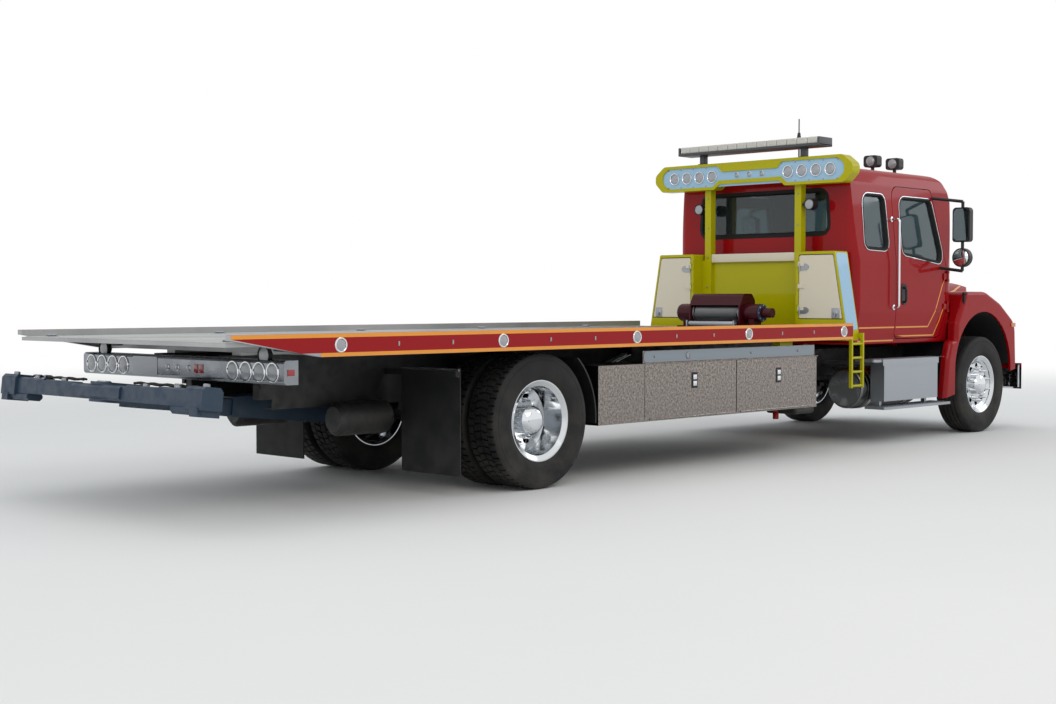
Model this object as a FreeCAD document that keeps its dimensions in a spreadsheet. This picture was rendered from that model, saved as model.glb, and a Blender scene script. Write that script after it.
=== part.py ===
import FreeCAD, Part
import math
import os
import Sketcher

# Flatbed tow truck.  Millimetres, +Z up, the ground at z = 0.
# The truck faces -Y, so its right-hand side is -X.  The origin is on the ground at mid length.

doc = FreeCAD.newDocument("flatbed_tow_truck")
sheet = doc.addObject("Spreadsheet::Sheet", "Dimensions")
Vector = FreeCAD.Vector


class Dim:
    """A size that carries both its value and the sheet formula that it comes from."""

    def __init__(self, value, formula):
        self.value = value
        self.formula = formula

    def __float__(self):
        return float(self.value)

    def join(self, other, sign, result):
        return Dim(result, "(%s %s %s)" % (self.formula, sign, formula(other)))

    def __add__(self, other):
        return self.join(other, "+", float(self) + float(other))

    def __sub__(self, other):
        return self.join(other, "-", float(self) - float(other))

    def __mul__(self, other):
        return self.join(other, "*", float(self) * float(other))

    def __truediv__(self, other):
        return self.join(other, "/", float(self) / float(other))

    def __neg__(self):
        return Dim(-float(self), "(-%s)" % self.formula)

    def __radd__(self, other):
        return Dim(float(other) + float(self), "(%s + %s)" % (formula(other), self.formula))

    def __rsub__(self, other):
        return Dim(float(other) - float(self), "(%s - %s)" % (formula(other), self.formula))

    def __rmul__(self, other):
        return Dim(float(other) * float(self), "(%s * %s)" % (formula(other), self.formula))


def formula(value):
    return value.formula if isinstance(value, Dim) else "(%r)" % float(value)


class Sizes:
    """The driving sizes: one spreadsheet row each, reached as attributes."""

    rows = 0

    def add(self, table):
        for alias, value in table.items():
            Sizes.rows += 1
            sheet.set("A%d" % Sizes.rows, alias)
            sheet.set("B%d" % Sizes.rows, str(value))
            sheet.setAlias("B%d" % Sizes.rows, alias)
            setattr(self, alias, Dim(value, "Dimensions." + alias))


d = Sizes()
nodes = []


# ---------------------------------------------------------------- building blocks

def bind(item, prop, value):
    if isinstance(value, Dim):
        item.setExpression(prop, value.formula)
    return item


def place(item, at, axis=(0, 0, 1), angle=0):
    spin = FreeCAD.Rotation(Vector(*axis), float(angle))
    item.Placement = FreeCAD.Placement(Vector(*at), spin)
    for name, value in zip("xyz", at):
        bind(item, "Placement.Base." + name, value)
    return item


def box(at, size):
    """A block from its lowest corner."""
    item = doc.addObject("Part::Box", "Block")
    for prop, value in zip(("Length", "Width", "Height"), size):
        setattr(item, prop, float(value))
        bind(item, prop, value)
    return place(item, at)


def wide(half, y, z, depth, height):
    """A block centred across the truck."""
    return box((-half, y, z), (half * 2, depth, height))


def rod(axis, at, radius, length):
    """A round bar that starts at a point and runs along +X, +Y or +Z."""
    item = doc.addObject("Part::Cylinder", "Rod")
    item.Radius = float(radius)
    item.Height = float(length)
    bind(item, "Radius", radius)
    bind(item, "Height", length)
    turn = {"x": ((0, 1, 0), 90), "y": ((1, 0, 0), -90), "z": ((0, 0, 1), 0)}[axis]
    return place(item, at, *turn)


def fuse(*parts):
    item = doc.addObject("Part::MultiFuse", "Joined")
    item.Shapes = list(parts)
    item.Refine = True
    return item


def cut(base, *tools):
    item = doc.addObject("Part::Cut", "Cut")
    item.Base = base
    item.Tool = tools[0] if len(tools) == 1 else fuse(*tools)
    item.Refine = True
    return item


def mirror(source):
    """The same piece on the other side of the truck."""
    item = doc.addObject("Part::Mirroring", "Mirrored")
    item.Source = source
    item.Normal = Vector(1, 0, 0)
    return item


def group(*parts):
    """Like pieces that do not touch, kept in one node."""
    item = doc.addObject("Part::Compound", "Group")
    item.Links = list(parts)
    return item


def feature(shape):
    item = doc.addObject("Part::Feature", "Form")
    item.Shape = shape
    return item


def node(label, item):
    item.Label = label
    nodes.append(item)
    return item


def new_sketch(body, plane):
    sketch = body.newObject("Sketcher::SketchObject", "Outline")
    support = [face for face in body.Origin.OriginFeatures if face.Role == plane + "_Plane"][0]
    sketch.AttachmentSupport = [(support, "")]
    sketch.MapMode = "FlatFace"
    return sketch


def draw_outline(sketch, points):
    """Straight edges between points, each point tied to the sheet by two distances."""
    corners = [Vector(float(a), float(b), 0) for a, b in points]
    for start, end in zip(corners, corners[1:] + corners[:1]):
        sketch.addGeometry(Part.LineSegment(start, end))
    for index in range(len(points)):
        following = (index + 1) % len(points)
        sketch.addConstraint(Sketcher.Constraint("Coincident", index, 2, following, 1))
    for index, point in enumerate(points):
        for kind, value in zip(("DistanceX", "DistanceY"), point):
            number = sketch.addConstraint(Sketcher.Constraint(kind, -1, 1, index, 1, float(value)))
            bind(sketch, "Constraints[%d]" % number, value)


def pad(plane, points, low, high, turn=0, at=None):
    """A profile drawn on a plane and padded from low to high across it."""
    body = doc.addObject("PartDesign::Body", "Body")
    sketch = new_sketch(body, plane)
    draw_outline(sketch, points)
    solid = body.newObject("PartDesign::Pad", "Pad")
    solid.Profile = sketch
    solid.Length = float(high) - float(low)
    bind(solid, "Length", Dim(float(high), formula(high)) - low)
    start = {"XY": (0, 0, low), "YZ": (low, 0, 0), "XZ": (0, high, 0)}[plane]
    if at is not None:
        start = (start[0] + at[0], at[1], at[2])
    return place(body, start, (1, 0, 0), turn)


def turned(points, centre, holes=None):
    """A profile of (across, radius) points revolved about a line along X, with a ring of holes."""
    body = doc.addObject("PartDesign::Body", "Body")
    sketch = new_sketch(body, "XY")
    draw_outline(sketch, points)
    solid = body.newObject("PartDesign::Revolution", "Revolution")
    solid.Profile = sketch
    solid.ReferenceAxis = (sketch, ["H_Axis"])
    solid.Angle = 360
    if holes:
        ring, radius, count = holes
        hole_sketch = new_sketch(body, "YZ")
        hole_sketch.addGeometry(Part.Circle(Vector(0, float(ring), 0), Vector(0, 0, 1), float(radius)))
        hole_sketch.addConstraint(Sketcher.Constraint("PointOnObject", 0, 3, -2))
        up = hole_sketch.addConstraint(Sketcher.Constraint("DistanceY", -1, 1, 0, 3, float(ring)))
        bind(hole_sketch, "Constraints[%d]" % up, ring)
        wide_as = hole_sketch.addConstraint(Sketcher.Constraint("Radius", 0, float(radius)))
        bind(hole_sketch, "Constraints[%d]" % wide_as, radius)
        pocket = body.newObject("PartDesign::Pocket", "HandHole")
        pocket.Profile = hole_sketch
        pocket.Midplane = True
        pocket.Type = "Length"
        pocket.Length = float(d.tyre_width) * 2
        bind(pocket, "Length", d.tyre_width * 2)
        pattern = body.newObject("PartDesign::PolarPattern", "HandHoles")
        pattern.Originals = [pocket]
        pattern.Axis = (hole_sketch, ["N_Axis"])
        pattern.Angle = 360
        pattern.Occurrences = int(count)
        body.Tip = pattern
    return place(body, centre)


def rounded_wire(points, lift):
    """A closed wire through (a, b, corner radius) points, each corner an arc."""
    corners = []
    for index, (a, b, radius) in enumerate(points):
        here = Vector(float(a), float(b), 0)
        before = Vector(float(points[index - 1][0]), float(points[index - 1][1]), 0)
        after_point = points[(index + 1) % len(points)]
        after = Vector(float(after_point[0]), float(after_point[1]), 0)
        back, ahead = (before - here).normalize(), (after - here).normalize()
        half = back.getAngle(ahead) / 2
        reach = float(radius) / math.tan(half) if float(radius) else 0
        middle = here + (back + ahead).normalize() * (float(radius) / math.sin(half) - float(radius))
        corners.append((here + back * reach, middle, here + ahead * reach, float(radius)))
    edges = []
    for index, (start, middle, end, radius) in enumerate(corners):
        if radius:
            edges.append(Part.Arc(lift(start), lift(middle), lift(end)).toShape())
        following = corners[(index + 1) % len(corners)][0]
        if (following - end).Length > 0.01:
            edges.append(Part.LineSegment(lift(end), lift(following)).toShape())
    return Part.Wire(edges)


def prism(axis, points, low, high, inset=0):
    """A rounded outline, drawn in by an inset, swept straight along X, Y or Z."""
    low, run = float(low), float(high) - float(low)
    lifts = {
        "x": (lambda p: Vector(low, p.x, p.y), Vector(run, 0, 0)),
        "y": (lambda p: Vector(p.x, low, p.y), Vector(0, run, 0)),
        "z": (lambda p: Vector(p.x, p.y, low), Vector(0, 0, run)),
    }
    lift, travel = lifts[axis]
    wire = rounded_wire(points, lift)
    if inset:
        wire = wire.makeOffset2D(-float(inset))
    return Part.Face(wire).extrude(travel)


def block(x, y, z, width, depth, height):
    return Part.makeBox(float(width), float(depth), float(height), Vector(x, y, z))


def bar(start, end, radius):
    """A round bar between two points."""
    start, end = Vector(*start), Vector(*end)
    return Part.makeCylinder(float(radius), (end - start).Length, start, end - start)


def flip(shape):
    """A mirrored copy on the other side of the truck."""
    return shape.mirror(Vector(0, 0, 0), Vector(1, 0, 0))


def both(shape):
    return Part.makeCompound([shape, flip(shape)])


# ---------------------------------------------------------------- main sizes

main_sizes = {
    "wheelbase": 6800, "front_overhang": 1000, "rear_overhang": 2960, "cab_setback": 2320,
    "cab_to_deck": 410, "deck_length": 6850, "deck_width": 2590, "seat_gap": 0.3, "running_gap": 6,
}
d.add(main_sizes)

rear_y = (d.wheelbase + d.front_overhang - d.rear_overhang) / 2    # rear axle line
front_y = rear_y - d.wheelbase                                      # front axle line
cab_y = front_y + d.cab_setback                                     # back wall of the cab
deck_front_y = cab_y + d.cab_to_deck
deck_tail_y = deck_front_y + d.deck_length


# ---------------------------------------------------------------- chassis frame

frame_sizes = {
    "frame_width": 870, "frame_top": 900, "frame_depth": 260, "flange_width": 80, "frame_wall": 10,
    "frame_ahead": 860, "frame_behind": 1840, "hinge_block_top": 880, "hinge_block_width": 70,
    "hinge_block_reach": 50, "member_height": 180, "member_depth": 60, "tilt_hinge_behind": 1900,
    "tilt_hinge_z": 850, "tilt_pin_radius": 35, "tilt_pin_half": 500, "lift_pin_radius": 30,
    "ram_base_ahead": 750, "ram_base_z": 620, "ram_pin_radius": 25, "ram_centre": 530,
    "ram_pin_half": 575, "ram_plate_half": 60, "ram_plate_height": 180, "member_front": 950,
    "member_cab": 250,
    "member_mid": 1500, "member_rear": 1500,
}
d.add(frame_sizes)

frame_half = d.frame_width / 2
frame_inner = frame_half - d.frame_wall
frame_under = d.frame_top - d.frame_depth
frame_start_y = front_y - d.frame_ahead
frame_end_y = rear_y + d.frame_behind
tilt_hinge_y = rear_y + d.tilt_hinge_behind
ram_base_y = rear_y - d.ram_base_ahead


def chassis_frame():
    """Two channel rails, the crossmembers seated between them and the two through pins."""
    top, under, wall, gap = d.frame_top, frame_under, d.frame_wall, d.seat_gap
    lip = frame_half - d.flange_width
    channel = [(frame_half, top), (lip, top), (lip, top - wall), (frame_inner, top - wall),
               (frame_inner, under + wall), (lip, under + wall), (lip, under), (frame_half, under)]
    member_z = top - wall - gap - d.member_height
    hinge_block = box((frame_half - d.hinge_block_width, frame_end_y - wall, member_z),
                      (d.hinge_block_width, tilt_hinge_y - frame_end_y + wall + d.hinge_block_reach,
                       d.hinge_block_top - member_z))
    ram_plate = box((frame_inner - wall, ram_base_y - d.ram_plate_half, d.ram_base_z - d.ram_plate_half),
                    (wall * 2, d.ram_plate_half * 2, d.ram_plate_height))
    rail = fuse(pad("XZ", channel, frame_start_y, frame_end_y), hinge_block, ram_plate)
    holes = [rod("x", (0, tilt_hinge_y, d.tilt_hinge_z), d.tilt_pin_radius + gap, d.tilt_pin_half),
             rod("x", (0, ram_base_y, d.ram_base_z), d.ram_pin_radius + gap, d.ram_pin_half)]
    rail = cut(rail, *holes)
    reach = frame_inner - gap
    members = [wide(reach, y, member_z, d.member_depth, d.member_height)
               for y in (frame_start_y, front_y + d.member_front, cab_y + d.member_cab,
                         cab_y + d.member_mid, rear_y - d.member_rear)]
    tilt_pin = rod("x", (-d.tilt_pin_half, tilt_hinge_y, d.tilt_hinge_z), d.tilt_pin_radius,
                   d.tilt_pin_half * 2)
    ram_pin = rod("x", (-d.ram_pin_half, ram_base_y, d.ram_base_z), d.ram_pin_radius, d.ram_pin_half * 2)
    return node("chassis_frame", group(rail, mirror(rail), *members, tilt_pin, ram_pin))


chassis_frame()


# ---------------------------------------------------------------- axles and springs

axle_sizes = {
    "tyre_radius": 502, "tyre_width": 280, "front_track": 2040, "dual_centre": 1080,
    "dual_spacing": 318, "kingpin_x": 860, "kingpin_radius": 22, "beam_width": 90, "beam_height": 100,
    "beam_drop": 95, "spindle_radius": 40, "axle_tube_radius": 65, "spring_width": 75,
    "spring_leafs": 55, "spring_reach": 640, "spring_x": 395, "brake_radius": 205,
    "driveshaft_radius": 50, "rear_hub_out": 80, "hub_cap_depth": 50,
}
d.add(axle_sizes)

axle_z = d.tyre_radius
front_track_half = d.front_track / 2


def spring(y, seat_z):
    """An arched leaf pack under one rail with a hanger at each end."""
    half = float(d.spring_width) / 2
    reach, thick = float(d.spring_reach), float(d.spring_leafs)
    base, top = float(seat_z), float(frame_under)
    rise = top - base - thick - 12
    y = float(y)
    under = Part.Arc(Vector(0, y - reach, base + rise), Vector(0, y, base),
                     Vector(0, y + reach, base + rise))
    over = Part.Arc(Vector(0, y + reach, base + rise + thick), Vector(0, y, base + thick),
                    Vector(0, y - reach, base + rise + thick))
    ends = [Part.LineSegment(under.EndPoint, over.StartPoint),
            Part.LineSegment(over.EndPoint, under.StartPoint)]
    wire = Part.Wire([under.toShape(), ends[0].toShape(), over.toShape(), ends[1].toShape()])
    leaf = Part.Face(wire).extrude(Vector(2 * half, 0, 0))
    hangers = [block(0, y + side * (reach - 40) - 40, base + rise + 5, 2 * half, 80, top - base - rise - 5)
               for side in (-1, 1)]
    shape = leaf.multiFuse(hangers)
    shape.translate(Vector(float(d.spring_x) - half, 0, 0))
    return shape


def front_axle():
    low = axle_z - d.beam_drop - d.beam_height / 2
    high = axle_z - d.beam_height / 2
    inner, boss = d.spring_x + 90, d.kingpin_x
    tall, beam_half = d.beam_height, d.beam_width / 2
    outline = [(-boss, high, 0), (-boss, high + tall, 0), (-inner - 60, high + tall, 60),
               (-inner, low + tall, 60),
               (inner, low + tall, 60), (inner + 60, high + tall, 60), (boss, high + tall, 0),
               (boss, high, 0),
               (inner + 60, high, 60), (inner, low, 60), (-inner, low, 60), (-inner - 60, high, 60)]
    beam = prism("y", outline, front_y - beam_half, front_y + beam_half)
    for side in (-1, 1):
        beam = beam.fuse(bar((side * boss, front_y, high), (side * boss, front_y, high + tall), beam_half))
        bore = d.kingpin_radius + d.seat_gap
        beam = beam.cut(bar((side * boss, front_y, high - 1), (side * boss, front_y, high + tall + 1), bore))
    pack = spring(front_y, low + tall - 10)
    return node("front_axle", feature(beam.multiFuse([pack, flip(pack)])))


def rear_axle():
    spindle_end = d.dual_centre + d.rear_hub_out - d.hub_cap_depth - 5
    drum_inner = d.dual_centre - d.dual_spacing - 150
    profile = [(0, 0, 0), (spindle_end, 0, 0), (spindle_end, d.spindle_radius, 0),
               (drum_inner + 90, d.spindle_radius, 0), (drum_inner + 90, d.brake_radius, 0),
               (drum_inner, d.brake_radius, 0), (drum_inner, d.axle_tube_radius, 0),
               (230, d.axle_tube_radius, 120), (160, 185, 100), (0, 195, 0)]
    wire = rounded_wire(profile, lambda p: Vector(p.x, float(rear_y) + p.y, float(axle_z)))
    half = Part.Face(wire).revolve(Vector(0, rear_y, axle_z), Vector(1, 0, 0), 360)
    nose = bar((0, rear_y - 150, axle_z), (0, rear_y - 330, axle_z + 12), 75)
    shaft = bar((0, rear_y - 320, axle_z + 12), (0, front_y + 900, axle_z + 110), d.driveshaft_radius)
    pack = spring(rear_y, axle_z + d.axle_tube_radius - 12)
    return node("rear_axle", feature(half.multiFuse([flip(half), nose, shaft, pack, flip(pack)])))


def knuckle(label, side):
    """Steering knuckle of one side: yoke round the beam end, kingpin, brake plate and spindle."""
    x, y, z = float(d.kingpin_x), float(front_y), float(axle_z)
    gap = float(d.seat_gap) + float(d.beam_height) / 2
    shape = bar((x, y, z - gap - 45), (x, y, z + gap + 45), d.kingpin_radius)
    plate_x = x + float(d.beam_width) / 2 + float(d.running_gap)
    ears = [block(x - 45, y - 45, z + gap, plate_x - x + 60, 90, 40),
            block(x - 45, y - 45, z - gap - 40, plate_x - x + 60, 90, 40)]
    cheek = block(plate_x, y - 60, z - gap - 40, 28, 120, 2 * gap + 80)
    plate = bar((plate_x + 20, y, z), (plate_x + 70, y, z), d.brake_radius)
    spindle = bar((plate_x, y, z), (front_track_half + 70, y, z), d.spindle_radius)
    arm = block(plate_x - 60, y + 40, z - gap - 40, 60, 170, 30)
    shape = shape.multiFuse(ears + [cheek, plate, spindle, arm])
    return node(label, feature(shape if side > 0 else flip(shape)))


front_axle()
rear_axle()
knuckle("knuckle_left", 1)
knuckle("knuckle_right", -1)


# ---------------------------------------------------------------- wheels

wheel_sizes = {
    "rim_radius": 292, "rim_half": 120, "rim_wall": 14, "bead_radius": 270, "hub_radius": 105,
    "hand_hole_ring": 195, "hand_hole_radius": 28, "hand_hole_count": 10, "disc_thick": 16,
    "front_disc": 62, "front_hub_out": 150, "tread_half": 112, "shoulder": 28,
}
d.add(wheel_sizes)


def tyre_outline():
    """Half section of one tyre, as (across, radius), mirrored about its middle."""
    outer, wide_half, seat = d.tyre_radius, d.tyre_width / 2, d.seat_gap
    side = [(d.tread_half, outer), (d.tread_half + 18, outer - d.shoulder * 0.4),
            (wide_half - 4, outer - d.shoulder * 2), (wide_half, (outer + d.rim_radius) / 2),
            (wide_half - 8, d.rim_radius + 45), (d.rim_half + 2, d.rim_radius + 12),
            (d.rim_half - 10 - seat, d.rim_radius + 8 + seat),
            (d.rim_half - 18 - seat, d.bead_radius + seat)]
    return side + [(-a, b) for a, b in reversed(side)]


def rim_ends():
    """The outer skin of a rim barrel, flange to flange."""
    lip, seat, edge = d.rim_half, d.bead_radius, d.rim_radius
    return [(lip, edge), (lip, edge + 8), (lip - 10, edge + 8), (lip - 18, seat),
            (-lip + 18, seat), (-lip + 10, edge + 8), (-lip, edge + 8), (-lip, edge)]


def front_rim():
    """Barrel with a flat disc near its outer flange."""
    inside = d.bead_radius - d.rim_wall
    disc_in, disc_out = d.front_disc - d.disc_thick / 2, d.front_disc + d.disc_thick / 2
    return rim_ends() + [(-d.rim_half + 20, inside), (disc_in - 20, inside), (disc_in, inside - 34),
                         (disc_in, d.hub_radius - 5), (disc_out, d.hub_radius - 5), (disc_out, inside - 34),
                         (disc_out + 20, inside), (d.rim_half - 20, inside)]


def dual_rim():
    """Deep dished barrel whose disc seats on its twin at half the dual spacing."""
    inside, face = d.bead_radius - d.rim_wall, d.dual_spacing / 2
    return rim_ends() + [(-face, inside - 40), (-face, d.hub_radius - 5),
                         (-face + d.disc_thick, d.hub_radius - 5),
                         (-face + d.disc_thick, inside - 46), (-d.rim_half + 34, inside),
                         (d.rim_half - 20, inside)]


def hub(low, high):
    """Hub barrel with a bore for the spindle and a closed, tapered cap."""
    bore = d.spindle_radius + d.seat_gap
    return [(low, bore), (low, d.hub_radius), (high - 40, d.hub_radius), (high - 12, d.hub_radius * 0.8),
            (high, d.hub_radius * 0.5), (high, 0), (high - d.hub_cap_depth, 0),
            (high - d.hub_cap_depth, bore)]


def wheel_set(side, name):
    holes = (d.hand_hole_ring, d.hand_hole_radius, float(d.hand_hole_count))
    facing = lambda points, way: [(a * way, b) for a, b in points]
    front_centre = (side * front_track_half, front_y, axle_z)
    outer_centre = (side * d.dual_centre, rear_y, axle_z)
    inner_centre = (side * (d.dual_centre - d.dual_spacing), rear_y, axle_z)
    node("front_tyre_" + name, turned(tyre_outline(), front_centre))
    front_hub = turned(facing(hub(d.front_disc - 70, d.front_hub_out), side), front_centre)
    node("front_wheel_" + name, fuse(turned(facing(front_rim(), side), front_centre, holes), front_hub))
    node("rear_tyres_" + name,
         group(turned(tyre_outline(), outer_centre), turned(tyre_outline(), inner_centre)))
    rear_hub = turned(facing(hub(-d.dual_spacing / 2 - 60, d.rear_hub_out), side), outer_centre)
    outer_rim = turned(facing(dual_rim(), side), outer_centre, holes)
    inner_rim = turned(facing(dual_rim(), -side), inner_centre, holes)
    node("rear_wheels_" + name, fuse(outer_rim, inner_rim, rear_hub))


wheel_set(1, "left")
wheel_set(-1, "right")


# ---------------------------------------------------------------- cab

cab_sizes = {
    "cab_floor_z": 960, "cab_roof_z": 2700, "cab_half": 1062, "cab_roof_half": 975, "belt_z": 1760,
    "sill_half": 1030, "roof_edge_z": 2560, "cab_wall": 55, "cowl_ahead": 1960, "cowl_z": 1640,
    "header_ahead": 1640, "header_z": 2600, "rear_corner": 110, "form_relief": 3, "door_rear": 745,
    "door_front": 1700,
    "door_foot_z": 1010, "door_head_z": 2500, "window_sill_z": 1790, "window_head_z": 2390,
    "quarter_rear": 190, "quarter_front": 600, "quarter_sill_z": 1890, "back_window_half": 755,
    "back_window_low": 2036, "back_window_high": 2431, "glass_thick": 8, "door_gap": 8, "hinge_x": 1075,
    "hinge_ahead": 6, "hinge_radius": 11, "hinge_pin": 5, "hinge_length": 60, "hinge_low": 1290,
    "hinge_high": 1600,
}
d.add(cab_sizes)

cowl_y = cab_y - d.cowl_ahead          # foot of the windscreen at the sides
header_y = cab_y - d.header_ahead      # top of the windscreen


def cab_form(inset):
    """The cab's outer form, or the same form drawn in by a wall thickness."""
    floor, roof, back = float(d.cab_floor_z), float(d.cab_roof_z), 0.0
    cowl, header, foot = -float(d.cowl_ahead), -float(d.header_ahead), float(d.cowl_z)
    rear = back + float(d.form_relief)    # the plan cuts the flat back, the front view the flat sides
    side = [(rear, floor, 30), (rear, roof - 60, 90), (back - 800, roof, 2500),
            (header - 60, roof - 45, 250),
            (header - 170, float(d.header_z), 60), (cowl - 190, foot, 20), (cowl - 110, foot - 180, 60),
            (cowl - 60, floor, 60)]
    half, roof_half, sill = float(d.cab_half), float(d.cab_roof_half), float(d.sill_half)
    edge, belt = float(d.roof_edge_z), float(d.belt_z)
    front = [(-sill, floor, 20), (-half, floor + 320, 500), (-half, belt, 600),
             (-roof_half - 18, edge - 60, 100),
             (-roof_half + 60, roof - 40, 120), (0, roof, 4000), (roof_half - 60, roof - 40, 120),
             (roof_half + 18, edge - 60, 100), (half, belt, 600), (half, floor + 320, 500),
             (sill, floor, 20)]
    broad = half + float(d.form_relief)
    form = prism("x", side, -half - 50, half + 50,
                 inset).common(prism("y", front, cowl - 400, back + 50, inset))
    form = prism("z", cab_plan(), floor - 50, roof + 50, inset).common(form)
    form.translate(Vector(0, float(cab_y), 0))
    return form


def cab_plan():
    """The cab seen from above, its back at zero: flat sides, a bowed front and rounded corners."""
    half, cowl = float(d.cab_half), -float(d.cowl_ahead)
    broad = half + float(d.form_relief)
    return [(-broad, 0.0, d.rear_corner), (-broad, cowl + 90, 260), (-half * 0.62, cowl - 130, 900),
            (0, cowl - 190, 3000), (half * 0.62, cowl - 130, 900), (broad, cowl + 90, 260),
            (broad, 0.0, d.rear_corner)]


def cab_sweep():
    """Space under the cab's widest part, which the hood's rear edges pass through as it tips."""
    form = prism("z", cab_plan(), 0.0, float(d.cab_floor_z) + 360, -float(d.door_gap))
    form.translate(Vector(0, float(cab_y), 0))
    return form


def door_cutter(grow, low, high):
    """The side opening of one door, through the right to left walls between two X values."""
    g = float(grow)
    rear, front = float(cab_y - d.door_rear), float(cab_y - d.door_front)
    foot, head, belt = float(d.door_foot_z), float(d.door_head_z), float(d.cowl_z)
    outline = [(rear + g, foot - g, 60), (rear + g + 10, head + g, 120),
               (float(header_y) + 140 - g, head + g, 60),
               (front - g - 20, belt + 50, 120), (front - g, foot + 240, 200),
               (front + 80 - g, foot - g, 80)]
    return prism("x", outline, low, high)


def door_window(grow, low, high):
    g = float(grow)
    rear, sill, head = float(cab_y - d.door_rear) - 130, float(d.window_sill_z), float(d.window_head_z)
    front, top = float(cab_y - d.door_front) + 75, float(header_y) + 165
    outline = [(rear + g, sill + 60 - g, 50), (rear + g, head + g, 90), (top - g, head + g, 60),
               (front - g, sill + 90, 60), (front + 20 - g, sill - 20 - g, 60)]
    return prism("x", outline, low, high)


def quarter_window(grow, low, high):
    g = float(grow)
    rear, front = float(cab_y - d.quarter_rear), float(cab_y - d.quarter_front)
    sill, head = float(d.quarter_sill_z), float(d.window_head_z) + 5
    outline = [(rear + g, sill - g, 60), (rear + g - 15, head + g, 90), (front - g + 20, head + g, 60),
               (front - g, sill - 10 - g, 70)]
    return prism("x", outline, low, high)


def back_window(grow, low, high):
    g, half = float(grow), float(d.back_window_half)
    bottom, top = float(d.back_window_low), float(d.back_window_high)
    outline = [(-half - g, bottom - g, 70), (-half - g + 30, top + g, 70), (half + g - 30, top + g, 70),
               (half + g, bottom - g, 70)]
    return prism("y", outline, low, high)


def windscreen_cutter(grow, low, high):
    """Front view of the windscreen opening, taken straight along Y."""
    g, foot, head = float(grow), float(d.cowl_z) + 70, float(d.header_z) - 110
    outline = [(-900 - g, foot - g, 70), (-790 - g, head + g, 110), (790 + g, head + g, 110),
               (900 + g, foot - g, 70)]
    return prism("y", outline, low, high)


outer_cab = cab_form(0)
cab_skin = outer_cab.cut(cab_form(d.cab_wall))
near, far = float(d.cab_half) - 200, float(d.cab_half) + 60    # slab that holds one side wall
back_y, front_limit_y = float(cab_y), float(cowl_y) - 300


def glass_pane(opening):
    """A pane that fills an opening, set midway in the thickness of the wall."""
    inset = float(d.cab_wall) / 2 - float(d.glass_thick) / 2
    layer = cab_form(inset).cut(cab_form(inset + float(d.glass_thick)))
    return layer.common(opening)


def door_hinges():
    """Two exposed hinges of the left door, as (parts on the cab, parts on the door)."""
    x, radius, pin, gap = float(d.hinge_x), float(d.hinge_radius), float(d.hinge_pin), float(d.seat_gap)
    y = float(cab_y - d.door_front) - 20 - float(d.hinge_ahead)
    tall = float(d.hinge_length)
    fixed, moving = [], []
    for z in (float(d.hinge_low), float(d.hinge_high)):
        for low in (z - 25, z + tall):
            fixed.append(bar((x, y, low), (x, y, low + 25), radius))
            fixed.append(block(near + 180, y - 40, low, x - near - 180, 40, 25))
        fixed.append(bar((x, y, z), (x, y, z + tall), pin))
        barrel = bar((x, y, z + gap), (x, y, z + tall - gap), radius)
        leaf = block(x - 8, y, z + gap, 8, 70, tall - 2 * gap)
        root = block(near + 180, y + 40, z + gap, x - near - 180, 30, tall - 2 * gap)
        moving.append(barrel.multiFuse([leaf, root]).cut(bar((x, y, z), (x, y, z + tall), pin + gap)))
    return fixed, moving


def cab():
    shell = cab_skin
    shell = shell.cut(door_cutter(d.door_gap, near, far)).cut(door_cutter(d.door_gap, -far, -near))
    for opening in (quarter_window(0, -far, far), back_window(0, back_y - 150, back_y + 50),
                    windscreen_cutter(0, front_limit_y, float(header_y) + 60)):
        shell = shell.cut(opening)
    rail = float(d.frame_top)
    mounts = [block(-frame_half, y, rail, d.frame_width, 90, float(d.cab_floor_z) - rail)
              for y in (float(cab_y) - 160, float(cowl_y) + 120)]
    hinges = door_hinges()[0]
    return node("cab_shell", feature(shell.multiFuse(mounts + hinges + [flip(part) for part in hinges])))


def cab_glass():
    panes = [glass_pane(quarter_window(0, near, far)), glass_pane(quarter_window(0, -far, -near)),
             glass_pane(back_window(0, back_y - 150, back_y + 50)),
             glass_pane(windscreen_cutter(0, front_limit_y, float(header_y) + 60))]
    return node("cab_glass", feature(Part.makeCompound(panes)))


def cab_door(name, side):
    low, high = (near, far) if side > 0 else (-far, -near)
    panel = cab_skin.common(door_cutter(0, low, high)).cut(door_window(0, low, high))
    hinges = door_hinges()[1]
    node("cab_door_" + name,
         feature(panel.multiFuse(hinges if side > 0 else [flip(part) for part in hinges])))
    node("door_glass_" + name, feature(glass_pane(door_window(0, low, high))))


cab()
cab_glass()
cab_door("left", 1)
cab_door("right", -1)


# ---------------------------------------------------------------- cab fittings

cab_fitting_sizes = {
    "seat_x": 450, "seat_width": 500, "seat_cushion_z": 1250, "seat_cushion_thick": 130,
    "seat_back_top": 2000, "dash_low": 1250, "dash_high": 1610, "steering_radius": 225,
    "steering_z": 1650, "mirror_x": 1300, "mirror_half": 95, "mirror_low": 1720, "mirror_high": 2320,
    "mirror_thick": 70,
}
d.add(cab_fitting_sizes)

floor_top = d.cab_floor_z + d.cab_wall


def cab_seats():
    seats = []
    for side in (-1, 1):
        x, width, y = side * float(d.seat_x), float(d.seat_width), float(cab_y) - 1260
        pedestal = block(x - width * 0.35, y + 60, floor_top, width * 0.7, 360, d.seat_cushion_z - floor_top)
        cushion = block(x - width / 2, y, d.seat_cushion_z, width, 500, d.seat_cushion_thick)
        base = float(d.seat_cushion_z)
        back_outline = [(y + 440, base + 60, 40), (y + 560, base + 60, 40),
                        (y + 640, float(d.seat_back_top), 50),
                        (y + 540, float(d.seat_back_top), 50)]
        back = prism("x", back_outline, x - width / 2, x + width / 2)
        seats.append(pedestal.multiFuse([cushion.makeFillet(30, cushion.Edges), back]))
    return node("cab_seats", feature(Part.makeCompound(seats)))


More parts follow.
